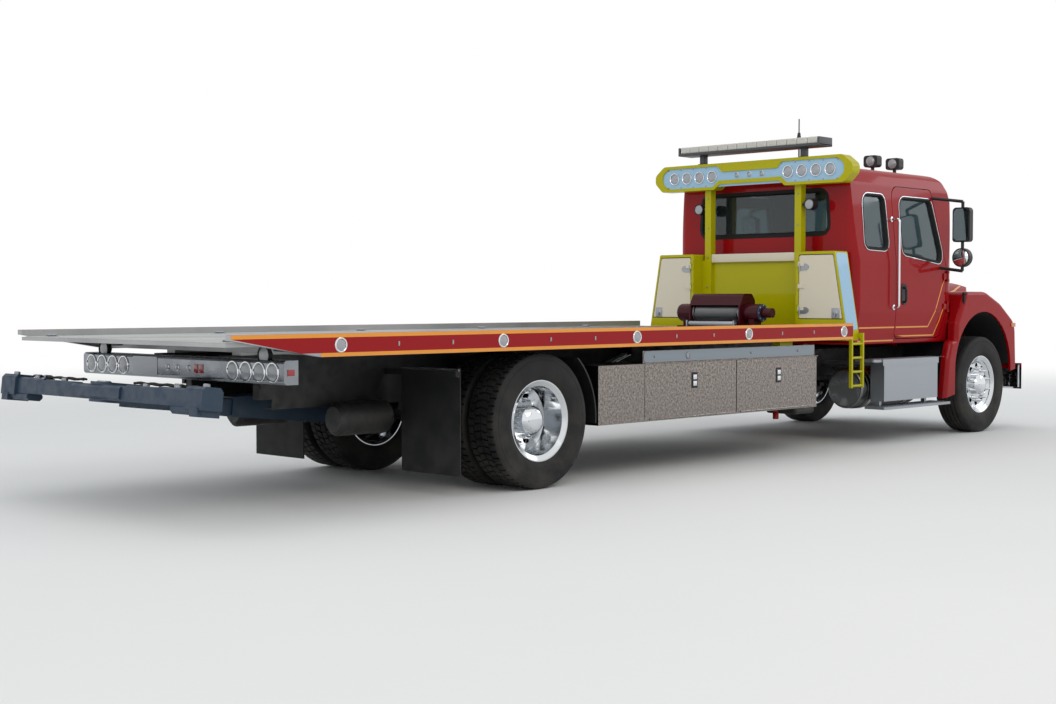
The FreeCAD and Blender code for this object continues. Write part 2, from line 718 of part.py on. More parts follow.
def dashboard():
    front, low, high = float(cowl_y), float(d.dash_low), float(d.dash_high)
    outline = [(front - 150, low - 150, 0), (front + 130, low, 60), (front + 260, low + 140, 60),
               (front + 210, high, 70), (front - 150, high + 60, 0)]
    half = float(d.cab_half) - 130
    desk = prism("x", outline, -half, half).common(cab_form(d.cab_wall))
    return node("dashboard", feature(desk.fuse(steering_wheel())))


def steering_wheel():
    """Rim, boss, spokes and the column that carries them out of the dashboard."""
    x, z, radius = float(d.seat_x), float(d.steering_z), float(d.steering_radius)
    centre = Vector(x, float(cowl_y) + 470, z)
    axis = Vector(0, 0.72, 0.69)
    across = axis.cross(Vector(1, 0, 0))
    section = [centre + across * (radius + 17 * math.cos(turn * math.pi / 4))
               + axis * (17 * math.sin(turn * math.pi / 4))
               for turn in range(9)]
    rim = Part.Face(Part.makePolygon(section)).revolve(centre, axis, 360)
    boss = Part.makeCylinder(60, 50, centre - axis * 40, axis)
    spokes = [bar(centre - Vector(radius, 0, 0), centre + Vector(radius, 0, 0), 13),
              bar(centre, centre - across * radius, 13), bar(centre, centre + across * radius, 13)]
    column = bar(centre, centre - axis * 330, 28)
    return rim.multiFuse([boss, column] + spokes)


def mirror_set(name, side):
    """Two arms from the door frame, a tall mirror head and a round convex head below it."""
    x, low, high = float(d.mirror_x), float(d.mirror_low), float(d.mirror_high)
    y = float(header_y) + 30
    half, deep = float(d.mirror_half), float(d.mirror_thick)
    head_low = low + (high - low) * 0.42
    outline = [(x - half, head_low, 30), (x - half, high, 40), (x + half, high, 40),
               (x + half, head_low, 30)]
    head = prism("y", outline, y - deep / 2, y + deep / 2)
    convex = bar((x, y + deep / 2, low + 95), (x, y - deep / 2, low + 95), half)
    post = bar((x, y, low - 40), (x, y, high + 60), 16)
    root = float(d.cab_half) - 120
    arms = [bar((root - 40, y + 105, high + 115), (x, y, high + 60), 16),
            bar((root, y + 20, low + 10), (x, y, low - 40), 16)]
    shape = head.multiFuse([convex, post] + arms).cut(cab_form(0))
    shape = max(shape.Solids, key=lambda solid: solid.Volume)
    return node("mirror_" + name, feature(shape if side > 0 else flip(shape)))


cab_seats()
dashboard()
mirror_set("left", 1)
mirror_set("right", -1)


# ---------------------------------------------------------------- hood, grille, bumper and engine

hood_sizes = {
    "hood_wall": 22, "nose_ahead": 950, "nose_half": 520, "nose_low": 765, "nose_high": 1270,
    "hood_crown": 1665, "hood_shoulder": 1500, "fender_outer": 1175, "fender_inner": 800,
    "arch_radius": 605, "skirt_inner": 1092, "arch_z": 660, "skirt_low": 390, "fender_front": 750,
    "fender_round": 45, "grille_half": 420, "grille_low": 850, "grille_high": 1190, "grille_bars": 9,
    "lamp_low": 900, "lamp_high": 1085, "lamp_inner": 720, "lamp_outer": 1060, "bumper_low": 420,
    "bumper_high": 700, "bumper_half": 1190, "bumper_depth": 140, "hood_hinge_ahead": 905,
    "hood_hinge_z": 745, "hood_pin_radius": 12, "hood_lug_x": 340, "radiator_half": 340,
    "radiator_low": 730, "radiator_high": 1220, "engine_half": 330, "engine_low": 550,
    "engine_high": 1330,
}
d.add(hood_sizes)

nose_y = front_y - d.nose_ahead
hood_hinge_y = front_y - d.hood_hinge_ahead


def hood_form(inset, opened):
    """Hood and fenders as one form; opened draws the underside and the back out past the skin."""
    o = float(opened)
    nose, cowl, axle = float(nose_y), float(cowl_y) + o, float(front_y)
    crown, shoulder, low = float(d.hood_crown), float(d.hood_shoulder), float(d.nose_low) - o
    side = [(cowl, low, 0), (cowl, crown, 0), (axle + 150, crown, 2500), (nose + 320, shoulder - 90, 500),
            (nose + 30, float(d.nose_high), 130), (nose, low, 0)]
    half = float(d.nose_half)
    plan = [(-1000, cowl, 0), (-985, axle + 60, 500), (-half - 130, nose + 330, 500),
            (-half, nose + 20, 150),
            (0, nose, 2000), (half, nose + 20, 150), (half + 130, nose + 330, 500), (985, axle + 60, 500),
            (1000, cowl, 0)]
    front = [(-1000, low, 0), (-1000, shoulder - 160, 160), (-800, shoulder + 60, 300), (0, crown, 2500),
             (800, shoulder + 60, 300), (1000, shoulder - 160, 160), (1000, low, 0)]
    form = prism("x", side, -1100, 1100, inset).common(prism("z", plan, low, crown + 50, inset))
    form = form.common(prism("y", front, nose - 10, cowl + 10, inset))
    fender = fender_form(inset, o)
    return form.multiFuse([fender, flip(fender)])


def fender_form(inset, opened):
    """One front fender: a rounded arch that swells out past the cab, with a skirt behind the wheel."""
    axle, low, top = float(front_y), float(d.skirt_low), float(d.hood_shoulder) - 25
    front, o = axle - float(d.fender_front), float(opened)
    door = float(cab_y - d.door_front) - 24
    outline = [(door + 210, low - o, 0), (door + 150, low + 400, 200), (door + 85, low + 580, 60),
               (door - 20, low + 590, 15), (door - 30, low + 760, 80), (door - 220, top, 110),
               (axle - 60, top, 320),
               (axle - 380, top - 120, 320), (front + 30, top - 330, 200), (front, low + 260 - o, 0)]
    outer = float(d.fender_outer) - float(inset)
    form = prism("x", outline, float(d.fender_inner) - o, outer, inset)
    rim = [edge for edge in form.Edges if edge.BoundBox.XMin > outer - 1 and edge.BoundBox.ZMax > low + 330]
    return form.makeFillet(float(d.fender_round) - float(inset), rim)


def hood():
    wall, axle = float(d.hood_wall), float(front_y)
    shell = hood_form(0, 0).cut(hood_form(wall, 60))
    reach = float(d.fender_outer) + 20
    arch_z, arch = float(d.arch_z), float(d.arch_radius)
    for side in (-1, 1):
        well = bar((side * 700, axle, arch_z), (side * reach, axle, arch_z), arch)
        below = block(min(side * 700, side * reach), axle - arch, 0, reach - 700, 2 * arch, arch_z)
        shell = shell.cut(well.fuse(below))
    shell = shell.cut(cab_form(-float(d.door_gap))).cut(cab_sweep())
    under_cab = float(d.skirt_inner)
    shell = shell.cut(block(-under_cab, float(cowl_y) - 105, 0, 2 * under_cab, 1000,
                            float(d.cab_floor_z) + 15))
    nose = float(nose_y)
    half = float(d.grille_half)
    opening = [(-half, d.grille_low, 40), (-half + 30, d.grille_high, 60), (half - 30, d.grille_high, 60),
               (half, d.grille_low, 40)]
    shell = shell.cut(prism("y", opening, nose - 50, nose + 140))
    for side in (-1, 1):
        shell = shell.cut(lamp_form(side, 0))
    lug_x, lug = float(d.hood_lug_x), 25
    y, z = float(hood_hinge_y), float(d.hood_hinge_z)
    lugs = []
    for side in (-1, 1):
        start = side * lug_x
        plate = block(min(start, start - side * lug), nose + wall - 12, z - 15, lug, y - nose - wall + 30,
                      75)
        lugs += [plate, bar((start - side * lug, y, z), (start + side * 70, y, z), d.hood_pin_radius)]
    shell = shell.multiFuse(lugs)
    return node("hood", feature(max(shell.Solids, key=lambda solid: solid.Volume)))


def lamp_form(side, grow):
    """Headlamp body set into the front corner of a fender."""
    front = float(front_y - d.fender_front)
    outline = [(side * float(d.lamp_inner), d.lamp_low, 40),
               (side * float(d.lamp_inner), d.lamp_high - 10, 50),
               (side * float(d.lamp_outer), d.lamp_high, 60),
               (side * float(d.lamp_outer), d.lamp_low + 20, 50)]
    return prism("y", outline, front - 30 - grow, front + 110)


def headlamps():
    lamps = []
    for side in (-1, 1):
        front = float(front_y - d.fender_front)
        bowl = lamp_form(side, 0)
        trimmed = bowl.common(block(-1200, front - 12, 0, 2400, 200, 2000))
        lamps.append(trimmed.makeFillet(10,
                                        [edge for edge in trimmed.Edges if edge.BoundBox.YMax < front - 11]))
    return node("headlamps", feature(Part.makeCompound(lamps)))


def grille():
    """A frame that fills the nose opening, with upright bars across it."""
    half, low, high = float(d.grille_half), float(d.grille_low), float(d.grille_high)
    nose = float(nose_y)
    outer = [(-half, low, 40), (-half + 30, high, 60), (half - 30, high, 60), (half, low, 40)]
    inner = [(-half + 30, low + 30, 20), (-half + 55, high - 30, 40), (half - 55, high - 30, 40),
             (half - 30, low + 30, 20)]
    frame = prism("y", outer, nose + 4, nose + 40).cut(prism("y", inner, nose - 10, nose + 60))
    count = int(float(d.grille_bars))
    pitch = (high - low - 30) / (count + 1)
    bars = [block(-half + 10, nose + 12, low + 15 + pitch * (n + 1) - 6, 2 * half - 20, 16, 12)
            for n in range(count)]
    bars.append(block(-10, nose + 10, low + 10, 20, 20, high - low - 20))
    bars = [piece.common(prism("y", outer, nose - 10, nose + 60)) for piece in bars]
    return node("grille", feature(frame.multiFuse(bars)))


def front_bumper():
    front, half, deep = float(front_y - d.front_overhang), float(d.bumper_half), float(d.bumper_depth)
    back = float(frame_start_y)
    plan = [(-half, back + 60, 10), (-half, front + 130, 90), (-half + 260, front + 12, 500),
            (0, front, 4000),
            (half - 260, front + 12, 500), (half, front + 130, 90), (half, back + 60, 10)]
    hollow = [(-half + 18, back + 80, 0), (-half + 18, front + 140, 80), (-half + 270, front + 30, 480),
              (0, front + 18, 4000),
              (half - 270, front + 30, 480), (half - 18, front + 140, 80), (half - 18, back + 80, 0)]
    low, high = float(d.bumper_low), float(d.bumper_high)
    face = prism("z", plan, low, high).cut(prism("z", hollow, low + 18, high - 18))
    ledge = block(-half, back, low - 10, 2 * half, 100, high - low + 20)
    face = face.cut(ledge)
    posts = [block(side * (frame_half - 40) - 35, front + 14, low + 60, 70, back - front - 14, 170)
             for side in (-1, 1)]
    return node("front_bumper", feature(Part.makeCompound([face.multiFuse(posts)] + hood_brackets())))


def hood_brackets():
    """Bored plates on the frame ends that carry the hood's pins."""
    y, z, back = float(hood_hinge_y), float(d.hood_hinge_z), float(frame_start_y)
    x = float(d.hood_lug_x) + 25
    plate = block(x, y, z - 18, 30, back - y, 36).fuse(bar((x, y, z), (x + 30, y, z), 18))
    plate = plate.cut(bar((x - 5, y, z), (x + 40, y, z), float(d.hood_pin_radius) + float(d.seat_gap)))
    return [plate, flip(plate)]


def engine_block():
    axle, half, low = float(front_y), float(d.engine_half), float(d.engine_low)
    block_form = block(-half, axle - 450, low, 2 * half, 690, float(d.engine_high) - low)
    front = axle + 200
    gearbox = [(-190, low - 40, 60), (-190, low + 330, 90), (190, low + 330, 90), (190, low - 40, 60)]
    case = prism("y", gearbox, front, axle + 896)
    lip = float(frame_half - d.flange_width)
    feet = [block(side * (half - 20) - (0 if side > 0 else lip - half + 20), axle - 250, frame_under,
                  lip - half + 20, 120, 90)
            for side in (-1, 1)]
    front, radiator_half = float(frame_start_y + d.member_depth), float(d.radiator_half)
    radiator = block(-radiator_half, front, d.radiator_low, 2 * radiator_half, 80,
                     d.radiator_high - d.radiator_low)
    return node("engine_block", feature(Part.makeCompound([block_form.multiFuse([case] + feet), radiator])))


hood()
headlamps()
grille()
front_bumper()
engine_block()


# ---------------------------------------------------------------- tanks, steps and exhaust

toolbox_sizes = {
    "box_outer": 1220, "box_inner": 780, "box_low": 430, "box_high": 885, "box_ahead": 620,
    "box_small": 550, "boxes_behind": 480, "box_wall": 15, "box_door": 18, "bay_gap": 5,
    "box_hinge_radius": 7, "box_hinge_pin": 3, "box_hinge_inset": 60, "box_hinge_end": 40, "skirt_high": 985,
    "bracket_z": 780, "quarter_radius": 592, "quarter_thick": 12, "flap_behind": 786, "flap_inner": 574,
    "flap_outer": 1184, "flap_low": 156, "flap_high": 911, "flap_thick": 10,
}
d.add(toolbox_sizes)

# The small bay sits by the rear wheels, and the two long ones share the room from there to the front.
box_rear_y = rear_y - d.box_ahead
box_front_y = deck_front_y + d.boxes_behind
box_long = (box_rear_y - d.box_small - box_front_y) / 2
door_plane_x = d.box_outer - d.box_door
bay_ends = [box_rear_y - d.box_small, box_rear_y - d.box_small - box_long,
            box_rear_y - d.box_small - box_long * 2]

tank_sizes = {
    "tank_radius": 198, "tank_x": 780, "tank_z": 530, "tank_rear": 270, "tank_length": 1100,
    "strap_width": 70, "step_outer": 1150, "step_inner": 1000, "step_rear": 380, "step_length": 1020,
    "step_low": 410, "step_high": 790, "tread_low_z": 336, "tread_thick": 26, "tread_reach": 70,
    "oil_tank_gap": 40, "oil_tank_length": 330, "air_tank_radius": 118, "air_tank_x": 590,
    "air_tank_behind": 960, "air_tank_length": 480, "muffler_radius": 120,
}
d.add(tank_sizes)


def fuel_tanks():
    """A cylindrical tank under each side of the cab, hung from the rail on two arms."""
    x, z, rear = float(d.tank_x), float(d.tank_z), float(cab_y - d.tank_rear)
    tank = Part.makeCylinder(float(d.tank_radius), float(d.tank_length), Vector(x, rear, z),
                             Vector(0, -1, 0))
    tank = tank.makeFillet(25, tank.Edges)
    rail, wide_as = float(frame_half), float(d.strap_width)
    for y in (rear - 180, rear - float(d.tank_length) + 180 - wide_as):
        tank = tank.fuse(block(rail, y, z + 120, x - rail, wide_as, 90))
        tank = tank.fuse(Part.makeCylinder(float(d.tank_radius) + 6, wide_as, Vector(x, y, z),
                                           Vector(0, 1, 0)))
    return node("fuel_tanks", feature(both(tank)))


def cab_steps():
    """Box step with an upper and a lower tread on each side, carried over the tank by two arms."""
    inner, outer = float(d.step_inner), float(d.step_outer)
    rear = float(cab_y - d.step_rear)
    front = rear - float(d.step_length)
    low, high, thick = float(d.step_low), float(d.step_high), float(d.tread_thick)
    case = block(inner, front, low, outer - inner, rear - front, high - low)
    upper = prism("z", [(inner - 70, front, 0), (inner - 70, rear + 180, 0), (outer, rear + 130, 60),
                        (outer + 12, front, 10)],
                  high, high + thick)
    lip = block(outer - 20, front, high - 34, 32, rear - front + 40, 34 + thick)
    tread_z, reach = float(d.tread_low_z), float(d.tread_reach)
    tread = prism("z", [(inner - 20, front - 160, 10), (inner - 20, rear + 80, 10),
                        (outer + reach, rear + 80, 30),
                        (outer + reach, front - 160, 30)], tread_z, tread_z + thick)
    legs = [block(inner + 20, y, tread_z, 40, 40, low - tread_z) for y in (front + 60, rear - 100)]
    arms = [block(frame_half, y, high - 40, inner - frame_half + 5, 50, 40) for y in (front + 90, rear - 90)]
    return node("cab_steps", feature(both(case.multiFuse([upper, lip, tread] + legs + arms))))


def chassis_tanks():
    """Hydraulic oil tank on the right, air tank behind the rear axle on both sides."""
    top, rail = float(d.frame_top) - 110, float(frame_half)
    front = float(bay_ends[2] - d.oil_tank_gap - d.oil_tank_length)
    body = block(-960, front, 340, 330, d.oil_tank_length, 420)
    body = body.makeFillet(30, body.Edges)
    oil = body.fuse(block(-rail - 200, front + 60, top - 90, 200, 200, 60))
    cap = bar((-800, front + 150, 755), (-800, front + 150, 800), 45)
    y = float(rear_y + d.air_tank_behind)
    tank = Part.makeCylinder(float(d.air_tank_radius), float(d.air_tank_length),
                             Vector(d.air_tank_x, y, 560), Vector(0, 1, 0))
    tank = tank.makeChamfer(30, [edge for edge in tank.Edges if edge.Closed and edge.Length > 100])
    straps = [block(rail, y + shift, 600, float(d.air_tank_x) - rail, 50, 60) for shift in (90, 330)]
    air = tank.multiFuse(straps)
    return node("chassis_tanks", feature(Part.makeCompound([oil.fuse(cap), air, flip(air)])))


def exhaust():
    """A muffler slung from the left rail and its turned-out tailpipe."""
    rail = float(frame_half)
    front = float(cab_y) + 150
    radius = float(d.muffler_radius)
    can = Part.makeCylinder(radius, 720, Vector(620, front, 600), Vector(0, 1, 0))
    can = can.makeChamfer(25, [edge for edge in can.Edges if edge.Closed and edge.Length > 100])
    hangers = [block(rail, front + shift, 640, 185, 50, 50) for shift in (120, 540)]
    inlet = bar((620, front - 150, 600), (620, front + 30, 600), 50)
    outlet = bar((620, front + 620, 560), (940, front + 660, 390), 45)
    return node("exhaust", feature(can.multiFuse(hangers + [inlet, outlet])))


fuel_tanks()
cab_steps()
chassis_tanks()
exhaust()


# ---------------------------------------------------------------- toolboxes

def toolbox(side):
    """Three bays in one welded case; the two long bays are open for their doors."""
    wall, low, high = d.box_wall, d.box_low, d.box_high
    length = d.box_small + box_long * 2
    start_x = d.box_inner if side > 0 else -door_plane_x
    case = box((start_x, bay_ends[2], low), (door_plane_x - d.box_inner, length, high - low))
    bays = []
    open_x = d.box_inner + wall if side > 0 else -door_plane_x - wall
    for rear in bay_ends[:2]:
        depth = door_plane_x - d.box_inner
        bays.append(box((open_x, rear - box_long + wall, low + wall),
                        (depth, box_long - wall * 2, high - low - wall * 2)))
    sealed = box(((d.box_inner + wall) if side > 0 else (-door_plane_x + wall), bay_ends[0] + wall,
                  low + wall),
                 (door_plane_x - d.box_inner - wall * 2, d.box_small - wall * 2, high - low - wall * 2))
    hollow = cut(case, *bays, sealed)
    face = box((door_plane_x if side > 0 else -d.box_outer, bay_ends[0], low),
               (d.box_door, d.box_small, high - low))
    lip = box((door_plane_x if side > 0 else -d.box_outer, bay_ends[2], low),
              (d.box_door, box_long * 2, wall - d.seat_gap))
    plate = box((door_plane_x - wall - 5 if side > 0 else 5 - door_plane_x, bay_ends[2] + 5, high - 5),
                (wall, box_long * 2 - 10, d.skirt_high - high + 5))
    arms = [box((frame_half if side > 0 else -d.box_inner, y, d.bracket_z),
                (d.box_inner - frame_half, 60, 70))
            for y in (box_rear_y - 100, bay_ends[1] - 60, bay_ends[2] + 100)]
    grooves, ears = [], []
    for rear in bay_ends[:2]:
        start, length = rear - box_long + d.box_hinge_inset, box_long - d.box_hinge_inset * 2
        grooves.append(box_hinge(side, start + d.box_hinge_end, length - d.box_hinge_end * 2,
                                 d.box_hinge_radius + d.seat_gap))
        for ear_start in (start, start + length - d.box_hinge_end + d.seat_gap):
            ear = box_hinge(side, ear_start, d.box_hinge_end - d.seat_gap, d.box_hinge_radius)
            ears.append(ear)
            grooves.append(box_hinge(side, ear_start - 1, d.box_hinge_end + 1, d.box_hinge_pin + d.seat_gap))
    return cut(fuse(hollow, face, lip, plate, *arms, *ears), *grooves)


def box_hinge(side, start, length, radius):
    """A round length of the hinge line at the foot of a drop-down door."""
    return rod("y", (d.box_outer if side > 0 else -d.box_outer, start, d.box_low + d.box_wall),
               radius, length)


def toolbox_doors(name, side):
    """Drop-down doors, hinged on the lip below them."""
    for place_name, rear in zip(("rear", "front"), bay_ends[:2]):
        gap = d.bay_gap
        start_x = door_plane_x + d.seat_gap if side > 0 else -d.box_outer
        door = box((start_x, rear - box_long + gap, d.box_low + d.box_wall),
                   (d.box_door - d.seat_gap, box_long - gap * 2,
                    d.box_high - d.box_low - d.box_wall - gap))
        start, length = rear - box_long + d.box_hinge_inset, box_long - d.box_hinge_inset * 2
        barrel = box_hinge(side, start + d.box_hinge_end + d.seat_gap,
                           length - (d.box_hinge_end + d.seat_gap) * 2,
                           d.box_hinge_radius)
        pin = box_hinge(side, start + d.box_hinge_end / 2, length - d.box_hinge_end, d.box_hinge_pin)
        clear = [box_hinge(side, ear, d.box_hinge_end + d.seat_gap, d.box_hinge_radius + d.seat_gap)
                 for ear in (start, start + length - d.box_hinge_end - d.seat_gap)]
        node("toolbox_door_%s_%s" % (place_name, name), fuse(cut(door, *clear), barrel, pin))


def quarter_fenders():
    """Curved guard ahead of each pair of rear wheels, carried on the toolbox."""
    radius, thick, y, z = float(d.quarter_radius), float(d.quarter_thick), float(rear_y), float(axle_z)
    ring = Part.makeCylinder(radius + thick, 590, Vector(625, y, z), Vector(1, 0, 0))
    ring = ring.cut(Part.makeCylinder(radius, 590, Vector(625, y, z), Vector(1, 0, 0)))
    slab = block(600, y - 700, z - 50, 700, 330, 500)
    guard = ring.common(slab)
    back = float(box_rear_y)
    stay = block(820, back, z + 40, 330, y - radius - thick * 0.6 - back, 60)
    stay = stay.cut(Part.makeCylinder(radius + thick * 0.5, 590, Vector(625, y, z), Vector(1, 0, 0)))
    return node("quarter_fenders", feature(both(guard.fuse(stay))))


def mudflaps():
    y, thick = rear_y + d.flap_behind, d.flap_thick
    flap = box((d.flap_inner, y, d.flap_low), (d.flap_outer - d.flap_inner, thick, d.flap_high - d.flap_low))
    hanger = box((frame_half, y + thick, d.flap_high - 60), (d.flap_outer - frame_half, 40, 40))
    piece = fuse(flap, hanger)
    return node("mudflaps", group(piece, mirror(piece)))


node("toolboxes", group(toolbox(1), toolbox(-1)))
toolbox_doors("left", 1)
toolbox_doors("right", -1)
quarter_fenders()
mudflaps()


# ---------------------------------------------------------------- headboard, cabinets and light pylon

headboard_sizes = {
    "headboard_behind": 115, "cabinet_depth": 214, "cabinet_inner": 610, "cabinet_top_half": 1040,
    "cabinet_foot_half": 1168, "cabinet_low": 1100, "cabinet_high": 1845, "cabinet_wall": 14,
    "cabinet_door_inner": 650, "cabinet_door_low": 1215, "cabinet_door_high": 1810,
    "cabinet_door_rim": 25, "post_inner": 500, "post_outer": 574, "post_deep": 75, "pylon_low": 2488,
    "pylon_high": 2748, "pylon_half": 1170, "pylon_deep": 130, "pylon_lamp_z": 2618, "beacon_half": 840,
    "beacon_low": 2828, "beacon_high": 2930, "ladder_x": 1210, "ladder_low": 570, "ladder_high": 1080,
}
d.add(headboard_sizes)

board_front_y = cab_y + d.headboard_behind
board_rear_y = board_front_y + d.cabinet_depth


def cabinet_outline(inset, low, high, inner):
    """Rear view of one cabinet, upright inside and leaning outside."""
    foot, top, base = float(d.cabinet_foot_half), float(d.cabinet_top_half), float(d.cabinet_low)
    lean = (foot - top) / (float(d.cabinet_high) - base)
    outer = lambda z: foot - lean * (z - base) - inset
    return [(inner, low, 0), (outer(low), low, 0), (outer(high), high, 20), (inner, high, 20)]


def cabinet_door_outline(grow):
    low, high = float(d.cabinet_door_low) - grow, float(d.cabinet_door_high) + grow
    return cabinet_outline(float(d.cabinet_door_rim) - grow, low, high, float(d.cabinet_door_inner) - grow)


def cabinet_hinges():
    """Three knuckle hinges on the inner edge of the left cabinet door, part case and part door."""
    rear, gap = float(board_rear_y), float(d.seat_gap)
    x, y, radius, pin = float(d.cabinet_door_inner) - 6, rear + 7, 6.0, 3.0
    fixed, moving = [], []
    for z in (1290, 1500, 1710):
        for low in (z - 15, z + 40):
            fixed.append(bar((x, y, low), (x, y, low + 15), radius))
            fixed.append(block(x - 30, rear - 4, low, 30, 11, 15))
        fixed.append(bar((x, y, z), (x, y, z + 40), pin))
        leaf = block(x, y - 5, z + gap, 60, 6,
                     40 - 2 * gap).fuse(block(x + 20, rear - 4, z + gap, 40, 10, 40 - 2 * gap))
        barrel = bar((x, y, z + gap), (x, y, z + 40 - gap), radius)
        moving.append(barrel.fuse(leaf).cut(bar((x, y, z), (x, y, z + 40), pin + gap)))
    return fixed, moving


def headboard():
    front, rear, wall = float(board_front_y), float(board_rear_y), float(d.cabinet_wall)
    low, high, inner = float(d.cabinet_low), float(d.cabinet_high), float(d.cabinet_inner)
    cabinet = prism("y", cabinet_outline(0, low, high, inner), front, rear)
    cabinet = cabinet.cut(prism("y", cabinet_outline(wall, low + wall, high - wall, inner + wall),
                                front + wall, rear - wall))
    cabinet = cabinet.cut(prism("y", cabinet_door_outline(float(d.door_gap)), rear - 60, rear + 10))
    post = block(d.post_inner, front, low, d.post_outer - d.post_inner, d.post_deep, d.pylon_low - low)
    bridge = block(d.post_outer - 5, front, low, inner - d.post_outer + 10, d.post_deep, high - low - 60)
    half, floor = float(d.cabinet_foot_half), float(d.frame_top)
    base = block(-half, front, low - 90, 2 * half, rear - front, 90)
    feet = block(-frame_half, front, floor, d.frame_width, rear - front, low - 90 - floor)
    post_half = float(d.post_inner)
    panel = block(-post_half, front + 20, low, 2 * post_half, 14, 660)
    beam = block(-post_half, front, low + 660, 2 * post_half, 60, 85)
    top, side = float(d.ladder_high), float(d.ladder_x)
    ladder_rear = rear - 10
    rails = [prism("x", [(ladder_rear - shift, d.ladder_low, 8), (ladder_rear - shift - 25, d.ladder_low, 8),
                         (ladder_rear - shift - 25, top, 0),
                         (ladder_rear - shift, top, 0)], side - 14, side + 14)
             for shift in (0, 190)]
    rungs = [bar((side, ladder_rear - 200, z), (side, ladder_rear - 10, z), 12)
             for z in (590, 720, 850, 980)]
    hooks = [block(half - 5, ladder_rear - shift - 25, top - 50, side - half + 19, 25, 50)
             for shift in (0, 190)]
    ladder = rails[0].multiFuse(rails[1:] + rungs + hooks)
    hinges = cabinet_hinges()[0]
    shape = base.multiFuse([feet, panel, beam, cabinet, flip(cabinet), post, flip(post), bridge,
                            flip(bridge),
                            ladder, flip(ladder)] + hinges + [flip(part) for part in hinges])
    return node("headboard", feature(shape))


def cabinet_door(name, side):
    rear = float(board_rear_y)
    door = prism("y", cabinet_door_outline(0), rear - 18, rear).multiFuse(cabinet_hinges()[1])
    return node("cabinet_door_" + name, feature(door if side > 0 else flip(door)))


def pylon():
    """Hollow-ended housing across the posts, its lamp face recessed."""
    front, low, high, half = (float(board_front_y), float(d.pylon_low), float(d.pylon_high),
                              float(d.pylon_half))
    rear = front + float(d.pylon_deep)
    outline = [(-half + 90, low, 60), (-half, low + 90, 60), (-half, high - 90, 60), (-half + 110, high, 60),
               (half - 110, high, 60), (half, high - 90, 60), (half, low + 90, 60), (half - 90, low, 60),
               (420, low, 30), (360, low + 50, 30), (-360, low + 50, 30), (-420, low, 30)]
    shape = prism("y", outline, front, rear)
    middle = float(d.pylon_lamp_z)
    face = [(-half + 90, middle - 40, 60), (-half + 90, middle + 45, 60), (-half + 160, high - 28, 40),
            (-380, high - 28, 40),
            (-330, middle + 43, 20), (330, middle + 43, 20), (380, high - 28, 40),
            (half - 160, high - 28, 40),
            (half - 90, middle + 45, 60), (half - 90, middle - 40, 60), (half - 160, low + 28, 40),
            (440, low + 28, 40),
            (370, middle - 43, 20), (-370, middle - 43, 20), (-440, low + 28, 40),
            (-half + 160, low + 28, 40)]
    shape = shape.cut(prism("y", face, rear - 14, rear + 10))
    return node("pylon_housing", feature(shape))


def pylon_lamps():
    """Round lamps on the recessed face: four large each side and three small in the middle."""
    face = float(board_front_y + d.pylon_deep) - 14
    z = float(d.pylon_lamp_z)
    lamps = []
    for x in (453, 611, 769, 927):
        for side in (-1, 1):
            lamps.append(bar((side * x, face, z), (side * x, face + 24, z), 62))
    for x in (-149, 0, 149):
        lamps.append(bar((x, face, z), (x, face + 20, z), 26))
    return node("pylon_lamps", feature(Part.makeCompound(lamps)))


def beacon_bar():
    """Low segmented light bar on two feet above the pylon."""
    y, half = float(board_front_y) + float(d.pylon_deep) / 2, float(d.beacon_half)
    low, high = float(d.beacon_low), float(d.beacon_high)
    outline = [(y - 75, low, 20), (y - 60, high, 25), (y + 60, high, 25), (y + 75, low, 20)]
    shape = prism("x", outline, -half, half)
    feet = [block(x - 30, y - 40, d.pylon_high, 60, 80, low - d.pylon_high) for x in (-600, 600)]
    return node("beacon_bar", feature(shape.multiFuse(feet)))


roof_lamp_sizes = {
    "work_lamp_x": 500, "work_lamp_ahead": 1210, "work_lamp_pitch": 430, "work_lamp_half": 80,
    "work_lamp_low": 2745, "work_lamp_high": 2865, "work_lamp_round": 30, "work_lamp_depth": 90,
    "work_lamp_stem": 18, "work_lamp_foot": 2500, "work_lamp_lap": 15, "aerial_ahead": 620,
    "aerial_foot": 2600, "aerial_stem": 8, "aerial_cup_z": 2980, "aerial_cup_high": 110,
    "aerial_cup_wide": 30, "aerial_cup_neck": 14, "aerial_lap": 10, "aerial_whip": 6,
    "aerial_top": 3230, "post_arm_reach": 40, "post_arm_thick": 20, "post_lamp_out": 85,
    "post_lamp_z": 2300, "post_lamp_back": 5, "post_lamp_depth": 70, "post_lamp_radius": 55,
}
d.add(roof_lamp_sizes)


def work_lamp(x, y):
    """One square work lamp on its short column."""
    low, high, turn = float(d.work_lamp_low), float(d.work_lamp_high), float(d.work_lamp_round)
    half, deep = float(d.work_lamp_half), float(d.work_lamp_depth) / 2
    column = bar((x, y, float(d.work_lamp_foot)), (x, y, low + float(d.work_lamp_lap)), d.work_lamp_stem)
    face = [(x - half, low, turn), (x - half, high, turn), (x + half, high, turn), (x + half, low, turn)]
    return prism("y", face, y - deep, y + deep).fuse(column)


def aerial(y):
    """A stem, a tapered cup and a thin whip, one above the other."""
    cup_z, high, lap = float(d.aerial_cup_z), float(d.aerial_cup_high), float(d.aerial_lap)
    stem = bar((0, y, float(d.aerial_foot)), (0, y, cup_z + lap), d.aerial_stem)
    cup = Part.makeCone(float(d.aerial_cup_wide), float(d.aerial_cup_neck), high, Vector(0, y, cup_z))
    whip = bar((0, y, cup_z + high - lap), (0, y, float(d.aerial_top)), d.aerial_whip)
    return stem.multiFuse([cup, whip])


